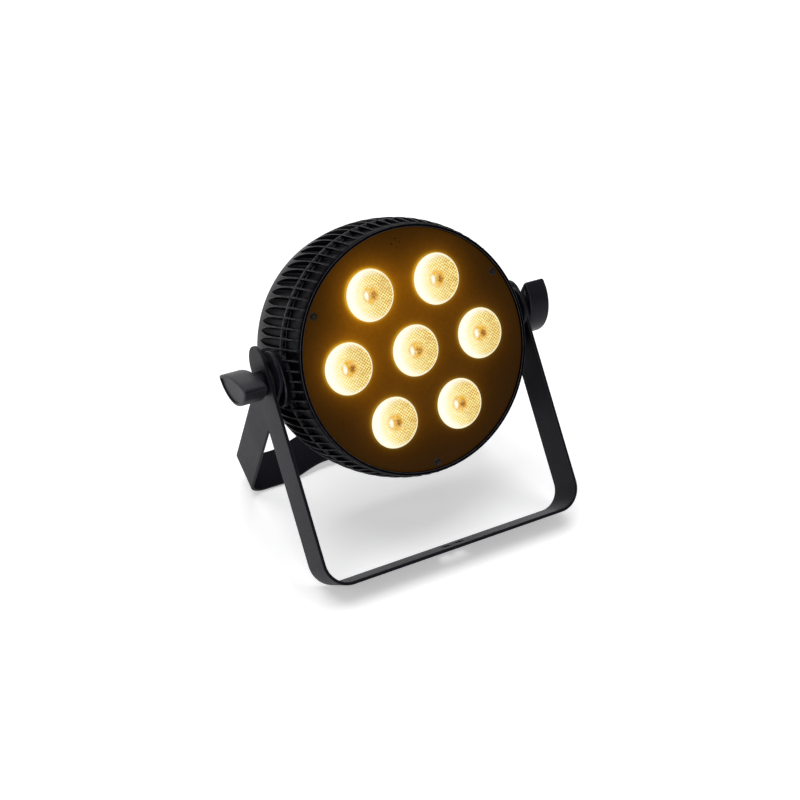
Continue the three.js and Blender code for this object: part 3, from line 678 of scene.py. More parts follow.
def lens_group():
    """The light in one lens: a white crescent, a yellow field with a cross-hatch, and the amber source."""
    tree, start, end = group_tree(
        "Lit lens",
        [("Vector", "vector", None), ("Place", "vector", None), ("Facet", "value", 1.8),
         ("Hatch", "value", 0.95)],
        [("Colour", "colour"), ("Height", "value")],
    )
    vector = start.outputs["Vector"]
    axes = split_axes(tree, vector)
    x, z = axes["X"], axes["Z"]
    waves = []
    for sign in (1, -1):
        slanted = maths(tree, "ADD", x, maths(tree, "MULTIPLY", z, float(sign)))
        facets = maths(tree, "DIVIDE", slanted, start.outputs["Facet"])
        turns = maths(tree, "MULTIPLY", facets, math.sqrt(2) * math.pi)
        waves.append(maths(tree, "COSINE", turns))
    lines = maths(tree, "ADD", waves[0], waves[1])
    place = start.outputs["Place"]
    streaks = tree.nodes.new("ShaderNodeMapping")
    streaks.inputs["Rotation"].default_value = (0, math.radians(38), 0)
    streaks.inputs["Scale"].default_value = (0.25, 1, 1.6)
    connect(tree, place, streaks.inputs["Vector"])
    streaky = noise(tree, streaks.outputs["Vector"], 0.7, 2.0, 0.6)
    grit = maths(tree, "ADD", noise(tree, place, 0.9, 3.0, 0.7), streaky)
    sparkle = maths(tree, "MULTIPLY", maths(tree, "SUBTRACT", grit, 1.0), 4.0)
    hatch = smoothly(tree, maths(tree, "ADD", lines, sparkle), -0.6, 0.6)
    across = smoothly(tree, x, -10.0, 15.0)
    patches = smoothly(tree, noise(tree, place, 0.17, 3.0, 0.65), 0.4, 0.6)
    field = blend_colours(tree, across, (1.0, 0.76, 0.13, 1), (0.64, 0.28, 0.012, 1))
    pale = blend_colours(tree, across, (1.0, 0.98, 0.66, 1), (1.0, 0.92, 0.36, 1))
    depth = maths(tree, "MULTIPLY", start.outputs["Hatch"], smoothly(tree, x, -17.0, 2.0, 0.3, 1.0))
    drawn = blend_colours(tree, maths(tree, "MULTIPLY", hatch, depth), pale, field)
    drawn = blend_colours(tree, maths(tree, "MULTIPLY", patches, maths(tree, "MULTIPLY", across, 0.35)),
                          drawn, (0.66, 0.42, 0.14, 1))
    mottle = smoothly(tree, noise(tree, place, 0.6, 3.0, 0.75), 0.34, 0.6, 0.2, 1.0)
    halo = maths(tree, "MULTIPLY", spot(tree, vector, (0.6, 0.0), (6.2, 6.4), 0.25), mottle)
    ringed = blend_colours(tree, halo, drawn, (0.84, 0.42, 0.015, 1))
    crescent = maths(tree, "SUBTRACT", 1.0, spot(tree, vector, (4.8, -1.0), (16.4, 17.4), 0.2))
    lit = blend_colours(tree, maths(tree, "MULTIPLY", crescent, 0.94), ringed, (1.0, 1.0, 0.90, 1))
    bright = spot(tree, vector, (-3.2, 0.3), (1.5, 3.1), 0.45)
    lit = blend_colours(tree, bright, lit, (1.0, 1.0, 0.85, 1))
    ragged = maths(tree, "MULTIPLY", spot(tree, vector, (2.6, -0.6), (2.4, 2.8), 0.6),
                   smoothly(tree, noise(tree, place, 0.8, 3.0, 0.75), 0.36, 0.58, 0.3, 1.0))
    lit = blend_colours(tree, ragged, lit, (0.30, 0.085, 0.002, 1))
    flat = vector_maths(tree, "MULTIPLY", vector, (1, 0, 1)).outputs[0]
    reach = vector_maths(tree, "LENGTH", flat).outputs["Value"]
    rim = smoothly(tree, reach, LENS_R - 1.0, LENS_R - 0.6)
    lit = blend_colours(tree, maths(tree, "MULTIPLY", rim, 0.9), lit, (1.0, 0.97, 0.72, 1))
    connect(tree, lit, end.inputs["Colour"])
    connect(tree, hatch, end.inputs["Height"])
    return tree


def lens_material(index, group, facet):
    """One lens's material. The light group is placed about that lens."""
    material, tree, shader = new_material(
        f"Lit lens {index + 1}", Base_Color=(0.02, 0.014, 0.006, 1), Specular_IOR_Level=0.3,
        Emission_Strength=1.0,
    )
    x, z = LENSES[index]
    vector = object_vector(tree, (x, 0, z))
    light = use_group(tree, group, Vector=vector, Place=object_vector(tree), Facet=facet)
    connect(tree, light.outputs["Colour"], shader.inputs["Emission Color"])
    rough = smoothly(tree, noise(tree, vector, 0.4, 2.0), 0.3, 0.7, 0.16, 0.32)
    connect(tree, rough, shader.inputs["Roughness"])
    emboss(tree, shader, light.outputs["Height"], 0.5, 0.1)
    return material


LENS_TURNS = (0, 8, -12, 20, 3, -7, 15)

MATERIALS = {}

# the castings' own coat tone; in front of the shoulder the coat is darkened as painted shade
SHOULDER_COAT = (0.0085, 0.0083, 0.0108, 1)
COAT_SOCKETS = {
    "bracket_coat": {"Specular_IOR_Level": 0.075, "Specular_Tint": COOL},
    "housing_coat": {"behind": SHOULDER_COAT, "Specular_IOR_Level": 0.02, "Specular_Tint": COOL},
    "knob_plastic": {"Specular_IOR_Level": 0.12, "Specular_Tint": COOL},
    "cover_coat": {"Specular_IOR_Level": 0.35},
    "led_amber": {"Emission_Color": (1.0, 0.5, 0.08, 1), "Emission_Strength": 0.8},
    "black_steel": {"Specular_IOR_Level": 0.2},
}
METALS = {
    "steel": ("Plated steel", (0.55, 0.55, 0.56, 1), 0.32),
    "contact_brass": ("Contact metal", (0.75, 0.6, 0.32, 1), 0.3),
    "bare_aluminium": ("Bare aluminium", (0.62, 0.63, 0.65, 1), 0.4, (8, 1, 1)),
}


def grey(tone):
    return (tone, tone, tone, 1)


def material_for(name):
    """The finishes, each built once."""
    if name in MATERIALS:
        return MATERIALS[name]
    colours = bpy.context.scene.par_can_colours
    sizes = bpy.context.scene.par_can_sizes
    grain = sizes.coat_grain / METRES
    worn_and_highlight, bracket, housing = tuple(colours.worn_and_highlight), tuple(colours.bracket), tuple(colours.housing)
    # each coat's second colour is its rubbed-edge tone, also a painted highlight; the castings get it in
    # full on their fin edges
    coats = {
        "bracket_coat": ("Bracket powder coat", bracket, worn_and_highlight, 0.42, 0.12, grain, 0.035, 0.55),
        # darkened as painted shade of the fins, with fin edges fully brightened as painted highlight
        "housing_coat": ("Housing coat and painted fin shade", housing, worn_and_highlight, 0.36, 0.16, grain * 0.8, 0.025, 1.0, 0.02),
        "knob_plastic": ("Knob plastic", tuple(colours.knob), worn_and_highlight, 0.38, 0.12, 0.5, 0.02, 0.4, 0.05),
        "cover_coat": ("Cover coat", bracket, worn_and_highlight, 0.45, 0.14, grain, 0.04, 0.6, 0.1),
        "washer_rubber": ("Washer rubber", grey(0.008), grey(0.03), 0.75, 0.1, 0.9, 0.03, 0.5),
        "component_black": ("Component plastic", (0.01, 0.01, 0.011, 1), worn_and_highlight, 0.38, 0.12, 0.6, 0.02, 0.4),
        "socket_black": ("Socket plastic", (0.014, 0.014, 0.016, 1), worn_and_highlight, 0.42, 0.12, 0.6, 0.02, 0.4),
        "holder_black": ("Holder plastic", grey(0.012), worn_and_highlight, 0.6, 0.1, 0.9, 0.02, 0.3),
        "button_rubber": ("Button rubber", (0.045, 0.046, 0.05, 1), grey(0.12), 0.6, 0.1, 0.5, 0.02, 0.5),
        "window_gloss": ("Window gloss", (0.006, 0.006, 0.008, 1), worn_and_highlight, 0.08, 0.06, 2.0, 0.004, 0.3, 0.05),
        "green_board": ("Green board", (0.012, 0.10, 0.04, 1), (0.2, 0.3, 0.15, 1), 0.4, 0.15, 2.5, 0.03,
                        0.4),
        "white_board": ("White board", (0.72, 0.72, 0.7, 1), (0.5, 0.5, 0.45, 1), 0.4, 0.12, 2.0, 0.02, 0.4),
        "led_amber": ("Emitter resin", (0.75, 0.42, 0.06, 1), (0.8, 0.7, 0.4, 1), 0.25, 0.1, 0.4, 0.02, 0.5),
        "black_steel": ("Blackened steel", (0.004, 0.0038, 0.0036, 1), (0.09, 0.085, 0.08, 1),
                        0.3, 0.15, 0.5, 0.02, 0.35),
    }
    if name in coats:
        made = coated(*coats[name], **COAT_SOCKETS.get(name, {}))
    elif name in METALS:
        made = metal(*METALS[name])
    elif name == "digit_red":
        made, tree, shader = new_material("Lit digits", Base_Color=(0.3, 0.01, 0.01, 1), Roughness=0.4,
                                          Emission_Strength=1.0)
        tint = noise(tree, object_vector(tree), 0.9, 2.0)
        lit = blend_colours(tree, tint, (0.9, 0.03, 0.02, 1), (1.0, 0.10, 0.05, 1))
        connect(tree, lit, shader.inputs["Emission Color"])
    elif name == "panel_black":
        made = panel_material(colours)
    else:
        raise ValueError(f"no finish is named {name}")
    MATERIALS[name] = made
    return made


# ---- Head castings ----


def crest(depth):
    arch = FRONT_ARCH if depth < CREST_DEPTH else REAR_ARCH
    return CREST_R - arch * (depth - CREST_DEPTH) ** 2


def fin_row(depth, floor, half=FIN_HALF, top=None, bead=0.0):
    """One row along a fin: its depth, crest and floor radii, half width and bead height."""
    top = crest(depth) if top is None else top
    return {"depth": depth, "top": top, "floor": floor, "half": half, "bead": bead}


def plain_row(depth, radius):
    return {"depth": depth, "top": radius, "floor": radius, "half": FIN_HALF, "bead": 0.0}


def row_points(row, edge):
    """(offset from the fin's middle, radius) across half a fin and half a pocket."""
    top, floor = row["top"], row["floor"]
    drop = max(0.0, top - floor)
    small = min(edge, 0.3 * drop)
    upper = min(0.6, 0.45 * drop)
    foot = min(0.5, 0.25 * drop)
    half = row["half"]
    spread = row.get("even", 0.0)
    foot_at = half + 0.1 * drop
    offsets = [0.0, max(0.3 * half, half - 2 * edge), half - edge, half, half + 0.05 * upper, foot_at,
               foot_at + 0.65, HALF_PITCH]
    last = len(offsets) - 1
    points = []
    for k, offset in enumerate(offsets):
        offset = min(offset, HALF_PITCH - (last - k) * 0.05)
        offset = offset * (1 - spread) + HALF_PITCH * k / last * spread
        radius = (top, top, top, top - small, top - upper, floor + foot, floor, floor)[k]
        radius += row["bead"] if k >= last - 1 else 0.0
        points.append((offset, radius))
    return points


def finned_ring(rows, edge):
    """One fin's cell as a grid, shaped row by row, then repeated round the axis and joined."""
    bm = bmesh.new()
    shaped = [row_points(row, edge) for row in rows]
    columns = 2 * (len(shaped[0]) - 1)
    bmesh.ops.create_grid(bm, x_segments=columns, y_segments=len(rows) - 1, size=1)
    for vert in bm.verts:
        column = round((vert.co.x + 1) / 2 * columns)
        row = round((vert.co.y + 1) / 2 * (len(rows) - 1))
        side = column - columns // 2
        offset, radius = shaped[row][abs(side)]
        angle = math.copysign(offset, side) / HALF_PITCH * math.pi / FINS
        vert.co = (radius * math.cos(angle), rows[row]["depth"], radius * math.sin(angle))
    bmesh.ops.spin(
        bm, geom=bm.verts[:] + bm.edges[:] + bm.faces[:], cent=(0, 0, 0), axis=(0, 1, 0), dvec=(0, 0, 0),
        angle=2 * math.pi * (FINS - 1) / FINS, steps=FINS - 1, use_merge=False, use_duplicate=True,
    )
    bmesh.ops.remove_doubles(bm, verts=bm.verts, dist=MERGE)
    return bm


def front_floor(depth):
    """The pockets' floor runs out smoothly into the front ring."""
    return FLOOR_R - 0.8 * math.exp(-depth / 2.2)


def boss_profile():
    """Radius and distance from the middle, for the round boss each side that the brackets clamp on."""
    outline = [(10, 82), (STUD_HOLE_R, 82), (STUD_HOLE_R, 100.4), (20.7, 100.4), (20.7, 91.4), (10, 91.4)]
    return soften(outline, (0, 0, 0.5, 2.1, 0, 0), steps=2)


class PARCAN_OT_castings(bpy.types.Operator):
    """Build the finned front and rear castings, with their bosses"""

    bl_idname = "par_can.castings"
    bl_label = "Finned castings"

    def execute(self, context):
        sizes = context.scene.par_can_sizes
        edge = sizes.fin_edge / METRES
        lip = [(4.2, 90.2), (0.5, 90.2), (0.14, 90.3), (0, 90.7), (0, 91.8), (0.14, 92.3), (0.5, 92.55),
               (1.2, 92.8)]
        rows = [plain_row(depth, radius) for depth, radius in lip]
        rows.append(plain_row(2.0, front_floor(2.0)))
        for depth in (2.5, 3.2, 4.5, 6.5, 9, 12, 15, 18, 21, 23.4):
            rows.append(fin_row(depth, front_floor(depth), top=crest(depth) - (0.25 if depth < 3 else 0)))
        for depth, bead in ((24.1, 0), (24.35, 0.5), (24.85, 0.5), (25.1, 0), (26.6, 0), (PARTING, 0)):
            rows.append(fin_row(depth, FLOOR_R, bead=bead))
        back = [(PARTING, 91.0), (12, 90.8), (12, 83.2), (4.2, 83.2), (4.2, 90.2)]
        rows += [plain_row(depth, radius) for depth, radius in back]
        make_piece(finned_ring(rows, edge), "front_bezel_casting", "head", "housing_coat",
                   ["front_bezel"])

        drop = sizes.rib_drop / METRES
        rows = [plain_row(PARTING + 0.06, 91.0)]
        for depth, lower in ((PARTING + 0.06, 0.2), (27.25, 0), (27.8, 0)):
            rows.append(fin_row(depth, crest(depth) - drop - lower, top=crest(depth) - lower * 0.5))
        rows.append(fin_row(28.0, crest(28.0) - drop - 0.25))
        rows.append(fin_row(28.2, FLOOR_R + 0.5))
        for depth in (28.6, 31, 34, 37, 40, 43, 46, 49, 52, 55, 58, 61, 63.5, 66, 68, 69.6, 70.8, LEAF_END):
            t = max(0.0, (depth - LEAF_START) / (LEAF_END - LEAF_START))
            floor = POCKET_R + (crest(depth) - POCKET_R) * t**4
            rows.append(fin_row(depth, floor, FIN_HALF + LEAF_SPREAD * t**3.4))
        for depth, even in ((73, 0.3), (74.5, 1), (76.5, 1), (78.5, 1), (80.5, 1)):
            row = plain_row(depth, crest(depth))
            row.update(half=FIN_HALF + LEAF_SPREAD, even=even)
            rows.append(row)
        rounded = [(82 + 10 * math.sin(a), 84 + 9.2 * math.cos(a)) for a in
                   (math.radians(d) for d in (6, 18, 32, 46, 60, 75, 90))]
        inner = [(92, 73), (91.85, 72.1), (91.2, 71.8), (88.3, 71.8), (88.3, 68), (85.6, 68), (82.6, 87),
                 (63.6, 91), (PARTING + 0.06, 91.0)]
        for depth, radius in rounded + inner:
            row = plain_row(depth, radius)
            row["even"] = 1
            rows.append(row)
        bm = finned_ring(rows, edge)
        for side in (Matrix.Identity(4), MIRROR_X):
            place = Matrix.Translation((0, PIVOT_DEPTH, 0)) @ side @ ALONG_X
            turn(bm, boss_profile(), steps=64, matrix=place)
        make_piece(bm, "rear_housing_casting", "head", "housing_coat",
                   ["rear_housing"])
        return {"FINISHED"}


# ---- Front: panel, screws and lenses ----


class PARCAN_OT_front_panel(bpy.types.Operator):
    """Build the front panel with its lens openings, its screws and the microphone holes"""

    bl_idname = "par_can.front_panel"
    bl_label = "Front panel"

    def execute(self, context):
        holes = [circle(place, LENS_OPENING_R, 64) for place in LENSES]
        spots = [(x, 80 + z) for x, z in ((0, 3.4), (3.4, 0), (0, -3.4), (-3.4, 0))]
        holes += [circle(place, 0.9, 12) for place in spots]
        panel = bmesh.new()
        plate(panel, circle((0, 0), 88.4, 160), 1.4, 3.9, 0.35, holes)
        rim = [(88.6, 2.0), (89.9, 2.0), (89.9, 3.9), (88.6, 3.9)]
        turn(panel, soften(rim, (0.3, 0.3, 0, 0)), steps=160)
        turn(panel, [(88.2, 2.6), (88.8, 2.6), (88.8, 3.7), (88.2, 3.7)], steps=160)
        make_piece(panel, "front_panel_plate", "head", "panel_black",
                   ["front_panel"])
        for i, degrees in enumerate(SCREW_ANGLES):
            screw = bmesh.new()
            cross_screw(screw, 2.9, 0.85, 1.45, 10.0, polar(SCREW_R, degrees))
            make_piece(screw, f"panel_screw_head_{i + 1}", "head", "black_steel",
                       [f"panel_screw_{i + 1}"])
        return {"FINISHED"}


SHANK_R = 1.4


def cross_screw(target, radius, height, face, end, place, matrix=None, flip=1):
    """A round-headed screw with a cross recess. Its head stands out by height from face, towards the front
    unless flip is -1."""
    bm = bmesh.new()
    top = face - flip * height
    profile = [(0, top + flip * 0.9), (0.62, top + flip * 0.9), (0.72, top + flip * 0.05),
               (radius * 0.6, top + flip * 0.08), (radius * 0.86, top + flip * 0.3),
               (radius, top + flip * 0.75), (radius, face), (SHANK_R, face), (SHANK_R, end), (0, end)]
    turn(bm, profile, steps=32)
    for vert in bm.verts:
        reach = math.hypot(vert.co.x, vert.co.z)
        if 0.3 < reach < 0.8:
            angle = math.degrees(math.atan2(vert.co.z, vert.co.x)) % 90
            arm = min(angle, 90 - angle) < 17
            scale = (radius * 0.52 if arm else 0.62) / reach
            vert.co.x *= scale
            vert.co.z *= scale
    bmesh.ops.translate(bm, verts=bm.verts, vec=(place[0], 0, place[1]))
    merge(target, bm, matrix)


def lens_shape(facet):
    """A lens body in millimetres: a face of small pillows with a dome in its middle, closed behind."""
    bm = bmesh.new()
    half = facet / 2
    count = 2 * math.ceil((LENS_R - 1.2) / half)
    bmesh.ops.create_grid(bm, x_segments=count, y_segments=count, size=count / 2 * half)
    bmesh.ops.rotate(bm, cent=(0, 0, 0), matrix=Matrix.Rotation(math.radians(45), 3, "Z"), verts=bm.verts)
    outside = [v for v in bm.verts if v.co.length > LENS_R - 1.1]
    bmesh.ops.delete(bm, geom=outside, context="VERTS")
    loose = [v for v in bm.verts if len(v.link_faces) < 1]
    bmesh.ops.delete(bm, geom=loose, context="VERTS")
    turned = Matrix.Rotation(math.radians(-45), 3, "Z")
    for vert in bm.verts:
        place = turned @ vert.co
        odd = (round(place.x / half) + round(place.y / half)) % 2
        reach = vert.co.length
        dome = 0.85 * max(0.0, 1 - (reach / 6.2) ** 2) ** 0.5 if reach < 6.2 else 0.0
        vert.co = (vert.co.x, 2.55 + (0.14 if odd else 0.0) - dome, vert.co.y)
    edges = [e for e in bm.edges if e.is_boundary]
    rim = ((LENS_R - 0.65, 2.45), (LENS_R - 0.3, 2.4), (LENS_R, 2.7), (LENS_R, 4.3))
    behind = ((20.4, 4.3), (20.4, 6.0), (14.5, 12.6), (8.0, 19.4), (4.6, 19.4), (3.6, 14.0), (1.0, 13.6))
    for radius, depth in rim + behind:
        made = bmesh.ops.extrude_edge_only(bm, edges=edges)["geom"]
        fresh = {item for item in made if isinstance(item, bmesh.types.BMVert)}
        for vert in fresh:
            angle = math.atan2(vert.co.z, vert.co.x)
            vert.co = (radius * math.cos(angle), depth, radius * math.sin(angle))
        edges = [item for item in made if isinstance(item, bmesh.types.BMEdge) and set(item.verts) <= fresh]
    bmesh.ops.triangle_fill(bm, edges=edges, use_beauty=True, use_dissolve=False)
    return bm


class PARCAN_OT_lenses(bpy.types.Operator):
    """Build the seven lit lenses"""

    bl_idname = "par_can.lenses"
    bl_label = "Lenses"

    def execute(self, context):
        facet = context.scene.par_can_sizes.lens_facet / METRES
        group = lens_group()
        for i, (x, z) in enumerate(LENSES):
            lens = lens_shape(facet)
            turned = Matrix.Rotation(math.radians(LENS_TURNS[i]), 4, "Y")
            bmesh.ops.transform(lens, matrix=Matrix.Translation((x, 0, z)) @ turned, verts=lens.verts)
            make_piece(lens, f"lit_lens_{i + 1}", "head", lens_material(i, group, facet),
                       [f"lens_{i + 1}"], smooth=math.radians(50))
        return {"FINISHED"}


# ---- Brackets ----

BAR_HALF = 15.75
BAR_T = 2.5
LEG_TOP = 27.9
PIVOT_HEIGHT = 136.134


class Bar:
    """A U of flat bar: maps the flat pattern (along, through the bar, across it) to the bent bar."""

    def __init__(self, span, leg, bend):
        self.half = span - BAR_T / 2
        self.floor = -leg + BAR_T / 2
        self.radius = bend - BAR_T / 2
        self.straight = LEG_TOP - self.floor - self.radius
        self.quarter = self.radius * math.pi / 2
        self.middle = self.half - self.radius
        self.length = self.straight + self.quarter + self.middle

    def place(self, along, out, across):
        """along is from the crossbar's middle, negative to the left. out is 0 at the outer face and BAR_T
        at the inner one."""
        side = -1 if along < 0 else 1
        distance = abs(along)
        lift = out - BAR_T / 2
        if distance <= self.middle:
            x, z = distance, self.floor + lift
        elif distance < self.middle + self.quarter:
            angle = (distance - self.middle) / self.radius
            reach = self.radius - lift
            x = self.middle + reach * math.sin(angle)
            z = self.floor + self.radius - reach * math.cos(angle)
        else:
            x = self.half - lift
            z = self.floor + self.radius + distance - self.middle - self.quarter
        return Vector((side * x, across, z))

    def cuts(self):
        steps = 14
        places = [self.middle + self.quarter * k / steps for k in range(steps + 1)]
        return [side * place for side in (-1, 1) for place in places]


def bar_outline(bar, step, step_from, step_to):
    """The flat pattern: round ends, and a middle that steps to one side on a smooth curve."""

    def shift(along):
        distance = abs(along)
        t = min(1.0, max(0.0, (step_from - distance) / (step_from - step_to))) if step else 0.0
        return step * t * t * (3 - 2 * t)

    ends = bar.length - BAR_HALF
    stepped = [side * (step_to + (step_from - step_to) * k / 14) for side in (-1, 1) for k in range(15)]
    places = sorted(bar.cuts() + (stepped if step else []))
    lower = [(u, -BAR_HALF + shift(u)) for u in places]
    upper = [(u, BAR_HALF + shift(u)) for u in reversed(places)]
    right = arc((ends, 0), BAR_HALF, -90, 90, 24)
    left = arc((-ends, 0), BAR_HALF, 90, 270, 24)
    return lower + right + upper + left


class PARCAN_OT_brackets(bpy.types.Operator):
    """Build the two bent brackets that the head hangs and stands on"""

    bl_idname = "par_can.brackets"
    bl_label = "Brackets"

    def execute(self, context):
        edge = context.scene.par_can_sizes.bar_edge / METRES
        coat = "bracket_coat"
        for name, span, bend, lean in (("front", 109.5, 19.5, -36.1), ("rear", 104.5, 14.0, 27.9)):
            angle = math.radians(abs(lean))
            leg = (PIVOT_HEIGHT - BAR_HALF * math.sin(angle)) / math.cos(angle)
            bar = Bar(span, leg, bend)
            step = 0.0 if name == "front" else 8.6
            outline = bar_outline(bar, step, 73.0, 31.0)
            stud = bar.length - LEG_TOP
            holes = [circle((side * stud, 0), STUD_HOLE_R, 32) for side in (-1, 1)]
            if name == "front":
                holes += [rectangle(7.0, 9.0, (side * 6.0, 0), 3.2) for side in (-1, 1)]
                holes.append(circle((0, 0), 1.5, 16))
            else:
                holes.append(circle((0, step), 5.5, 40))
            bm = bmesh.new()
            plate(bm, outline, 0.0, BAR_T, edge, holes, hole_edge=0.3, cuts=bar.cuts(), bend=bar.place)
            make_piece(bm, f"{name}_bracket_bar", f"{name}_bracket", coat,
                       [f"{name}_bracket"], matrix=about_pivot(math.radians(lean)), weighted=True)
        return {"FINISHED"}


# ---- Clamp knobs ----

KNOB_IN, KNOB_OUT = 115.0, 132.5
KNOB_HALF, BELLY, CROWN = 27.0, 16.5, 4.5
KNOB_TIP = 4.2  # how far the rounding reaches along each side of a tip
THREAD_PITCH = 1.25
WASHERS = (("inner", 100.7, 101.7, "head"), ("outer", 104.8, 106.7, "rear_bracket"))


def half_moon():
    """The handle's outline, counter-clockwise, with X along the chord and the round belly down."""
    lift = (BELLY - CROWN) / 2
    belly_r = (KNOB_HALF**2 + BELLY**2) / (2 * BELLY)
    crown_r = (KNOB_HALF**2 + CROWN**2) / (2 * CROWN)
    belly_a = math.degrees(math.asin(KNOB_HALF / belly_r))
    crown_a = math.degrees(math.asin(KNOB_HALF / crown_r))
    lower = arc((0, lift + belly_r - BELLY), belly_r, -90 - belly_a, -90 + belly_a, 28)
    upper = arc((0, lift - crown_r + CROWN), crown_r, 90 - crown_a, 90 + crown_a, 16)
    tips = [lower[0], lower[-1]]
    below, above = (
        [p for p in side if min(math.dist(p, tip) for tip in tips) > 2.1 * KNOB_TIP]
        for side in (lower, upper)
    )
    corners = [tips[0], *below, tips[1], *above]
    return soften(corners, [KNOB_TIP if corner in tips else 0.0 for corner in corners], steps=6)


class PARCAN_OT_knobs(bpy.types.Operator):
    """Build the clamp knobs, their studs and the washers"""

    bl_idname = "par_can.knobs"
    bl_label = "Knobs, studs and washers"

    def execute(self, context):
        edge = context.scene.par_can_sizes.knob_edge / METRES
        upright = Matrix(((0, 1, 0, 0), (1, 0, 0, 0), (0, 0, 1, 0), (0, 0, 0, 1)))  # depth to X, width to Y
        for name, mirror, degrees in (("left", MIRROR_X, -14.6), ("right", Matrix.Identity(4), -79.2)):
            knob = bmesh.new()
            outline = half_moon()
            handle(knob, outline, edge, upright)
            ring = [(9.5, 109.9), (9.5, KNOB_IN + 2), (STUD_HOLE_R, KNOB_IN + 2), (STUD_HOLE_R, 109.9)]
            turn(knob, soften(ring, (0.6, 0, 0, 0.3)), steps=48, matrix=ALONG_X)
            turned = about_pivot(math.radians(degrees)) @ mirror
            make_piece(knob, f"{name}_clamp_knob", f"{name}_knob", "knob_plastic",
                       [f"{name}_knob"], matrix=turned, weighted=True)
            insert = bmesh.new()
            cross_screw(insert, 2.3, 0.35, KNOB_IN - 0.02, KNOB_IN + 1.6, (0, 0),
                        matrix=Matrix.Translation((0, -19.0, 1.2)) @ ALONG_X)
            make_piece(insert, f"{name}_knob_screw", f"{name}_knob", "black_steel",
                       matrix=turned)
            side = about_pivot(0) @ mirror
            stud = bmesh.new()
            thread = [(0, 84), (3.3, 84)]
            for k in range(33):
                start = 84.3 + k * THREAD_PITCH
                thread += [(3.45, start), (3.95, start + 0.45), (3.95, start + 0.6), (3.45, start + 1.1)]
            thread += [(3.3, 126), (0, 126)]
            turn(stud, thread, steps=24, matrix=ALONG_X)
            make_piece(stud, f"{name}_threaded_stud", f"{name}_knob", "steel",
                       [f"{name}_knob_stud"], matrix=side)
            for label, low, high, body in WASHERS:
                washer = bmesh.new()
                ring = soften([(4.5, low), (WASHER_R, low), (WASHER_R, high), (4.5, high)], 0.3)
                turn(washer, ring, steps=56, matrix=ALONG_X)
                make_piece(washer, f"{name}_{label}_rubber_washer", body, "washer_rubber",
                           [f"{name}_{label}_washer"], matrix=side)
        return {"FINISHED"}


def handle(target, outline, edge, matrix):
    """The knob's handle: rounded at both ends, with a shallow dished face inside a rim at the outer one."""
    bm = bmesh.new()
    levels = [(edge * a, KNOB_IN + edge * b) for a, b in ROUND]
    levels += [(edge * 0.8 * a, KNOB_OUT - edge * 0.8 * b) for a, b in reversed(ROUND)]
    levels += [(2.1, KNOB_OUT), (2.25, KNOB_OUT - 0.15), (2.35, KNOB_OUT - 0.9), (2.7, KNOB_OUT - 1.05)]
    rings = []
    for offset, depth in levels:
        rings.append([(x, depth, z) for x, z in inset(outline, offset)])
    close_ends(bm, *walls(bm, rings))
    merge(target, bm, matrix)


# ---- Rear cover and its fittings ----


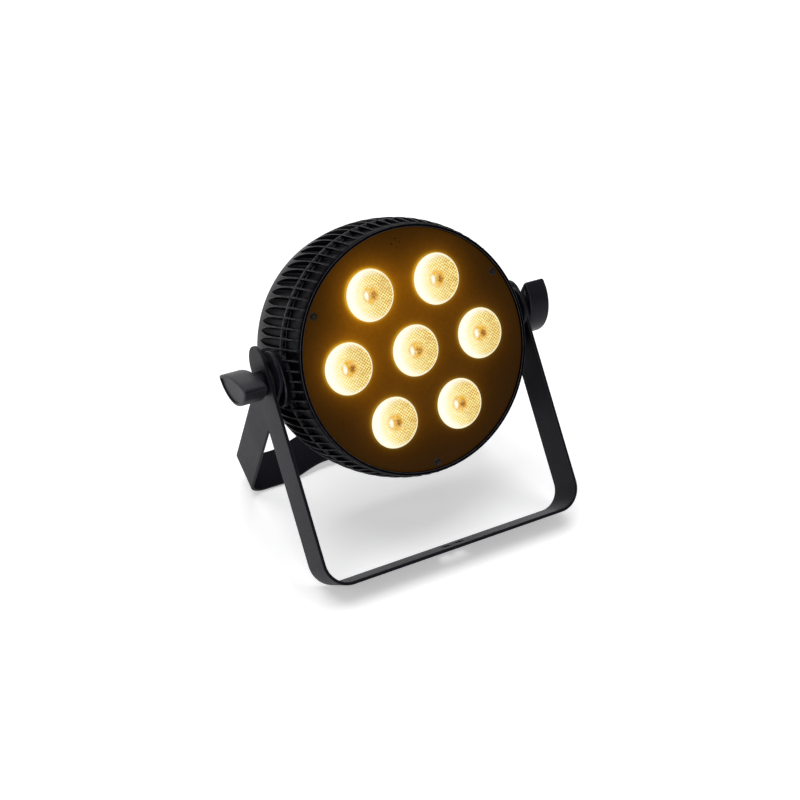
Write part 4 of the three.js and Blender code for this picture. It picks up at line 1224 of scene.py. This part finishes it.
class PARCAN_OT_rear_cover(bpy.types.Operator):
    """Build the rear cover with its screws, display, buttons, fuse cap and safety eye"""

    bl_idname = "par_can.rear_cover"
    bl_label = "Rear cover"

    def execute(self, context):
        holes = [rectangle(36, 12, (0, DISPLAY_Z), 1.0)]
        holes += [circle((x, BUTTON_Z), 3.9, 24) for x in BUTTON_XS]
        holes += [circle((side * SIGNAL_X, SIGNAL_Z), 11.7, 40) for side in (-1, 1)]
        holes += [rectangle(23, 16, (side * POWER_X, POWER_Z), 2.0) for side in (-1, 1)]
        holes.append(circle((0, FUSE_Z), 3.7, 24))
        cover = bmesh.new()
        plate(cover, circle((0, 0), COVER_R, 128), COVER_INNER_FACE, COVER_FACE, 0.5, holes, hole_edge=0.25)
        for x in BUTTON_XS:  # a raised ring round each button
            ring = [(4.0, 90.5), (5.4, 90.5), (5.1, 91.0), (4.3, 91.0)]
            turn(cover, soften(ring, (0, 0, 0.15, 0.15)), (x, BUTTON_Z), 32)
        make_piece(cover, "rear_cover_plate", "head", "cover_coat",
                   ["rear_cover"])

        screws = bmesh.new()
        for degrees in (30, 66, 114, 150, 205, 335, 270):
            cross_screw(screws, 2.9, 1.3, COVER_FACE - 0.05, 86.0, polar(COVER_SCREW_R, degrees), flip=-1)
        for side in (-1, 1):
            for dx, dz in ((-10, 12.3), (10, -12.3)):
                cross_screw(screws, 1.8, 0.9, FITTING_FACE + 2.35, 88.0,
                            (side * SIGNAL_X + dx * side, SIGNAL_Z + dz), flip=-1)
        make_piece(screws, "cover_screws", "head", "black_steel")

        window = bmesh.new()
        plate(window, rectangle(42, 17, (0, DISPLAY_Z), 2.5), FITTING_FACE, FITTING_FACE + 1.2, 0.4)
        make_piece(window, "display_glass", "head", "window_gloss",
                   ["display_window"])
        digits = bmesh.new()
        for i, lit in enumerate(("bcdef", "abcdef", "abcdef", "bc")):  # one lit figure in each place
            for segment in lit:
                x0 = -13.2 + i * 8.8
                dx, dz, tall = {"a": (0, 4.2, 0), "b": (2.3, 2.1, 1), "c": (2.3, -2.1, 1), "d": (0, -4.2, 0),
                                "e": (-2.3, -2.1, 1), "f": (-2.3, 2.1, 1), "g": (0, 0, 0)}[segment]
                size = (0.9, 0.16, 3.5) if tall else (3.7, 0.16, 0.9)
                block(digits, size, (-(x0 + dx), FITTING_FACE + 1.22, DISPLAY_Z + dz), 0.07, 1)
        make_piece(digits, "display_digits", "head", "digit_red")

        for i, x in enumerate(BUTTON_XS):
            button = bmesh.new()
            cap = [(0, 83.6), (3.6, 83.6), (3.6, 93.1), (2.6, 93.1), (2.2, 92.85), (0, 92.75)]
            turn(button, soften(cap, (0, 0, 0.7, 0.3, 0.2, 0), closed=False, steps=3), (x, BUTTON_Z), 40)
            node = f"menu_button_{i + 1}"
            make_piece(button, f"menu_button_cap_{i + 1}", node, "button_rubber",
                       [node])

        fuse = bmesh.new()
        cap = [(0, 95.2), (1.2, 95.2), (4.9, 95.9), (4.9, FITTING_FACE), (3.3, FITTING_FACE), (3.3, 72.6),
               (0, 72.6)]
        turn(fuse, soften(cap, (0, 0.2, 0.6, 0.3, 0, 0.3, 0), closed=False), (0, FUSE_Z), 48)
        for degrees in range(0, 360, 20):  # grip ribs
            x, z = polar(4.55, degrees)
            turn(fuse, [(0, 91.2), (0.42, 91.2), (0.42, 95.0), (0, 95.2)], (x, FUSE_Z + z), 6)
        block(fuse, (6.6, 0.5, 1.3), (0, 95.55, FUSE_Z), 0.12, 1)
        make_piece(fuse, "fuse_holder_cap", "fuse_cap", "component_black",
                   ["fuse_cap"])

        eye = bmesh.new()
        plate(eye, rectangle(26, 6, (0, EYE_Z), 2.9), FITTING_FACE, FITTING_FACE + 1.6, 0.4)
        wire = bmesh.new()
        steps = 28
        start, reach = FITTING_FACE + 0.6, 15.0
        rings = []
        for k in range(steps + 1):
            t = k / steps
            x = -8.5 * (1 - t) ** 3 - 25.5 * t * (1 - t) ** 2 + 25.5 * t * t * (1 - t) + 8.5 * t**3
            y = start + 3 * reach * (t * (1 - t) ** 2 + t * t * (1 - t))
            along = Vector((51 * t * (1 - t), 3 * reach * (1 - 2 * t), 0)).normalized()
            out = Vector((along.y, -along.x, 0))
            rings.append([Vector((x, y, EYE_Z)) + 1.8 * (out * math.cos(a) + Vector((0, 0, 1)) * math.sin(a))
                          for a in (2 * math.pi * j / 16 for j in range(16))])
        close_ends(wire, *walls(wire, rings))
        merge(eye, wire)
        make_piece(eye, "safety_cable_eye", "head", "steel", ["safety_eye"])
        return {"FINISHED"}


class PARCAN_OT_sockets(bpy.types.Operator):
    """Build the signal and power sockets on the rear cover"""

    bl_idname = "par_can.sockets"
    bl_label = "Sockets"

    def execute(self, context):
        face, top = FITTING_FACE, FITTING_FACE + 2.4
        plastic = "socket_black"
        pins = bmesh.new()
        for name, side in (("input", -1), ("output", 1)):
            x, z = side * SIGNAL_X, SIGNAL_Z
            cup = 9.4
            contacts = ((-3.4, 1.6), (3.4, 1.6), (0, -3.6))
            socket = bmesh.new()
            plate(socket, rectangle(26, 31, (x, z), 3.0), face, top, 0.5, [circle((x, z), cup + 0.4, 56)],
                  hole_edge=0.3)
            tube = [(cup, top + 0.35), (cup + 0.9, top + 0.35), (cup + 0.9, face), (11.2, face),
                    (11.2, 76.6), (0, 76.6), (0, 79.6), (cup, 79.6)]
            turn(socket, soften(tube, (0.2, 0.3, 0, 0, 0, 0, 0, 0), closed=False), (x, z), 56)
            if name == "input":
                for dx, dz in contacts:
                    rod = [(0, 78), (1.2, 78), (1.2, 89.2), (0.8, 90), (0, 90.2)]
                    turn(pins, rod, (x + dx, z + dz), 16)
                block(socket, (2.4, 11, 1.0), (x, 85.5, z + cup - 0.3), 0.2, 1)
            else:
                outer = circle((x, z), cup - 2.2, 48)
                holes = [circle((x + dx, z + dz), 1.5, 20) for dx, dz in contacts]
                plate(socket, outer, 79.0, top - 0.2, 0.4, holes, hole_edge=0.25)
            make_piece(socket, f"signal_{name}_socket", "head", plastic,
                       [f"signal_{name}"])
        latch = bmesh.new()
        block(latch, (8, 2.5, 4.2), (SIGNAL_X, face + 2.75, SIGNAL_Z + 12.4), 0.5)
        for dz in (-1.1, 0, 1.1):
            block(latch, (6.4, 0.36, 0.45), (SIGNAL_X, face + 4.0 - 0.08, SIGNAL_Z + 12.4 + dz), 0.1, 1)
        make_piece(latch, "output_release_tab", "output_latch", "steel",
                   ["output_latch"])

        for name, side in (("inlet", -1), ("outlet", 1)):
            x, z = side * POWER_X, POWER_Z
            socket = bmesh.new()
            flange = rectangle(26, 19, (x, z), 2.5)
            body = rectangle(22, 15, (x, z), 2.0)
            if name == "inlet":
                mouth = rectangle(19, 12.5, (x, z), 3.4)
                plate(socket, flange, face, face + 2, 0.5, [mouth], hole_edge=0.4)
                plate(socket, body, 77.6, face + 1, 0.1, [inset(mouth, -0.3)])
                plate(socket, body, 74.6, 77.9, 0.1)
                for dx, dz in ((-5, 1.2), (5, 1.2), (0, -2.2)):
                    block(pins, (1.9, 11.5, 4.2), (x + dx, 83, z + dz), 0.3)
            else:
                slots = [rectangle(2.2, 4.6, (x + dx, z + dz), 0.4)
                         for dx, dz in ((-5, 1.6), (5, 1.6), (0, -1.8))]
                plate(socket, flange, face, face + 2, 0.5, [inset(body, 1.2)], hole_edge=0.3)
                plate(socket, inset(body, 1.5), 79.6, face + 1.5, 0.5, slots, hole_edge=0.25)
                plate(socket, body, 74.6, 79.8, 0.1)
                plate(socket, body, 79.6, face + 1, 0.1, [inset(body, 1.3)])
            make_piece(socket, f"power_{name}_socket", "head", plastic, [f"power_{name}"])
        make_piece(pins, "socket_pins", "head", "contact_brass")
        return {"FINISHED"}


# ---- Inside ----


class PARCAN_OT_inside(bpy.types.Operator):
    """Give the carried-over pieces inside the head their finishes"""

    bl_idname = "par_can.inside"
    bl_label = "Inside pieces"

    def execute(self, context):
        finishes = {
            "housing_seal": "washer_rubber", "led_board": "white_board", "heat_spreader": "bare_aluminium",
            "microphone": "component_black", "power_supply_board": "green_board",
            "supply_transformer": "component_black", "supply_capacitor": "component_black",
            "control_board": "green_board", "display_module": "component_black",
        }
        for i in range(1, len(LENSES) + 1):
            finishes[f"lens_holder_{i}"] = "holder_black"
            finishes[f"led_emitter_{i}"] = "led_amber"
        for node, finish in finishes.items():
            mesh = NODES[node].data
            mesh.materials.clear()
            mesh.materials.append(material_for(finish))
        return {"FINISHED"}


# ---- Stage ----


# Each light's name, place and side in metres, and its power in watts.
LIGHTS = (
    ("Overhead", (-0.1, 0.35, 2.6), 2.8, 58),
    ("Key", (-1.5, -0.7, 1.5), 0.9, 3),
    ("Fill", (1.8, -1.2, 1.4), 1.0, 2),
    ("Back", (0.7, 2.0, 1.0), 1.2, 9),
)
# The camera's place in metres, its right, up and backward directions, and its sensor and lens in
# millimetres.
CAMERA_PLACE = (-0.42644, -0.77157, 0.65203)
CAMERA_AXES = ((0.87627, -0.48181, 0.00361), (0.25519, 0.47046, 0.84472), (-0.40869, -0.73928, 0.53520))
CAMERA_SENSOR, CAMERA_LENS = 36.0, 61.17


class PARCAN_OT_stage(bpy.types.Operator):
    """Set the pale floor, the soft studio lights and the camera"""

    bl_idname = "par_can.stage"
    bl_label = "Stage"

    def execute(self, context):
        scene = context.scene
        bm = bmesh.new()
        bmesh.ops.create_grid(bm, x_segments=8, y_segments=8, size=14)
        mesh = bpy.data.meshes.new("floor")
        bm.to_mesh(mesh)
        bm.free()
        floor = bpy.data.objects.new("studio_floor", mesh)
        floor_material = new_material(
            "Pale floor", Base_Color=grey(0.9), Roughness=0.9, Specular_IOR_Level=0.1,
            Emission_Color=(1, 1, 1, 1), Emission_Strength=0.42,
        )[0]
        mesh.materials.append(floor_material)
        scene.collection.objects.link(floor)

        world = bpy.data.worlds.new("Studio")
        world.use_nodes = True
        scene.world = world
        sky = world.node_tree
        background = next(n for n in sky.nodes if n.type == "BACKGROUND")
        backdrop = sky.nodes.new("ShaderNodeBackground")
        backdrop.inputs["Color"].default_value = grey(0.9)
        seen = sky.nodes.new("ShaderNodeMixShader")
        sky.links.new(sky.nodes.new("ShaderNodeLightPath").outputs["Is Camera Ray"], seen.inputs[0])
        sky.links.new(background.outputs[0], seen.inputs[1])
        sky.links.new(backdrop.outputs[0], seen.inputs[2])
        output = next(n for n in sky.nodes if n.type == "OUTPUT_WORLD")
        sky.links.new(seen.outputs[0], output.inputs["Surface"])
        background.inputs["Color"].default_value = (0.95, 0.96, 1.0, 1)
        background.inputs["Strength"].default_value = 0.24

        for name, place, size, power in LIGHTS:
            light = bpy.data.lights.new(name, "AREA")
            light.shape, light.size, light.energy = "SQUARE", size, power
            lamp = bpy.data.objects.new(name, light)
            lamp.location = place
            lamp.rotation_euler = (PIVOT - Vector(place)).to_track_quat("-Z", "Y").to_euler()
            scene.collection.objects.link(lamp)

        camera = bpy.data.cameras.new("Camera")
        camera.sensor_width, camera.lens = CAMERA_SENSOR, CAMERA_LENS
        camera.clip_start, camera.clip_end = 0.05, 60
        viewer = bpy.data.objects.new("Camera", camera)
        axes = Matrix(CAMERA_AXES).transposed().to_4x4()
        viewer.matrix_world = Matrix.Translation(CAMERA_PLACE) @ axes
        scene.collection.objects.link(viewer)
        scene.camera = viewer
        scene.view_settings.view_transform = "Standard"
        return {"FINISHED"}


class PARCAN_PT_panel(bpy.types.Panel):
    """Lists the builders of the light's pieces"""

    bl_label = "Par can light"
    bl_idname = "PARCAN_PT_panel"
    bl_space_type = "VIEW_3D"
    bl_region_type = "UI"
    bl_category = "Par can"

    def draw(self, context):
        layout = self.layout
        for name in ParCanSizes.__annotations__:
            layout.prop(context.scene.par_can_sizes, name)
        for name in ParCanColours.__annotations__:
            layout.prop(context.scene.par_can_colours, name)
        for operator in OPERATORS:
            layout.operator(operator.bl_idname)


OPERATORS = (
    PARCAN_OT_castings, PARCAN_OT_front_panel, PARCAN_OT_lenses, PARCAN_OT_brackets, PARCAN_OT_knobs,
    PARCAN_OT_rear_cover, PARCAN_OT_sockets, PARCAN_OT_inside, PARCAN_OT_stage,
)
CLASSES = (ParCanSizes, ParCanColours, *OPERATORS, PARCAN_PT_panel)


def register():
    for cls in CLASSES:
        bpy.utils.register_class(cls)
    bpy.types.Scene.par_can_sizes = bpy.props.PointerProperty(type=ParCanSizes)
    bpy.types.Scene.par_can_colours = bpy.props.PointerProperty(type=ParCanColours)


def unregister():
    del bpy.types.Scene.par_can_colours
    del bpy.types.Scene.par_can_sizes
    for cls in reversed(CLASSES):
        bpy.utils.unregister_class(cls)


def main():
    register()
    for operator in OPERATORS:
        group, name = operator.bl_idname.split(".")
        getattr(getattr(bpy.ops, group), name)()


if __name__ == "__main__":
    main()
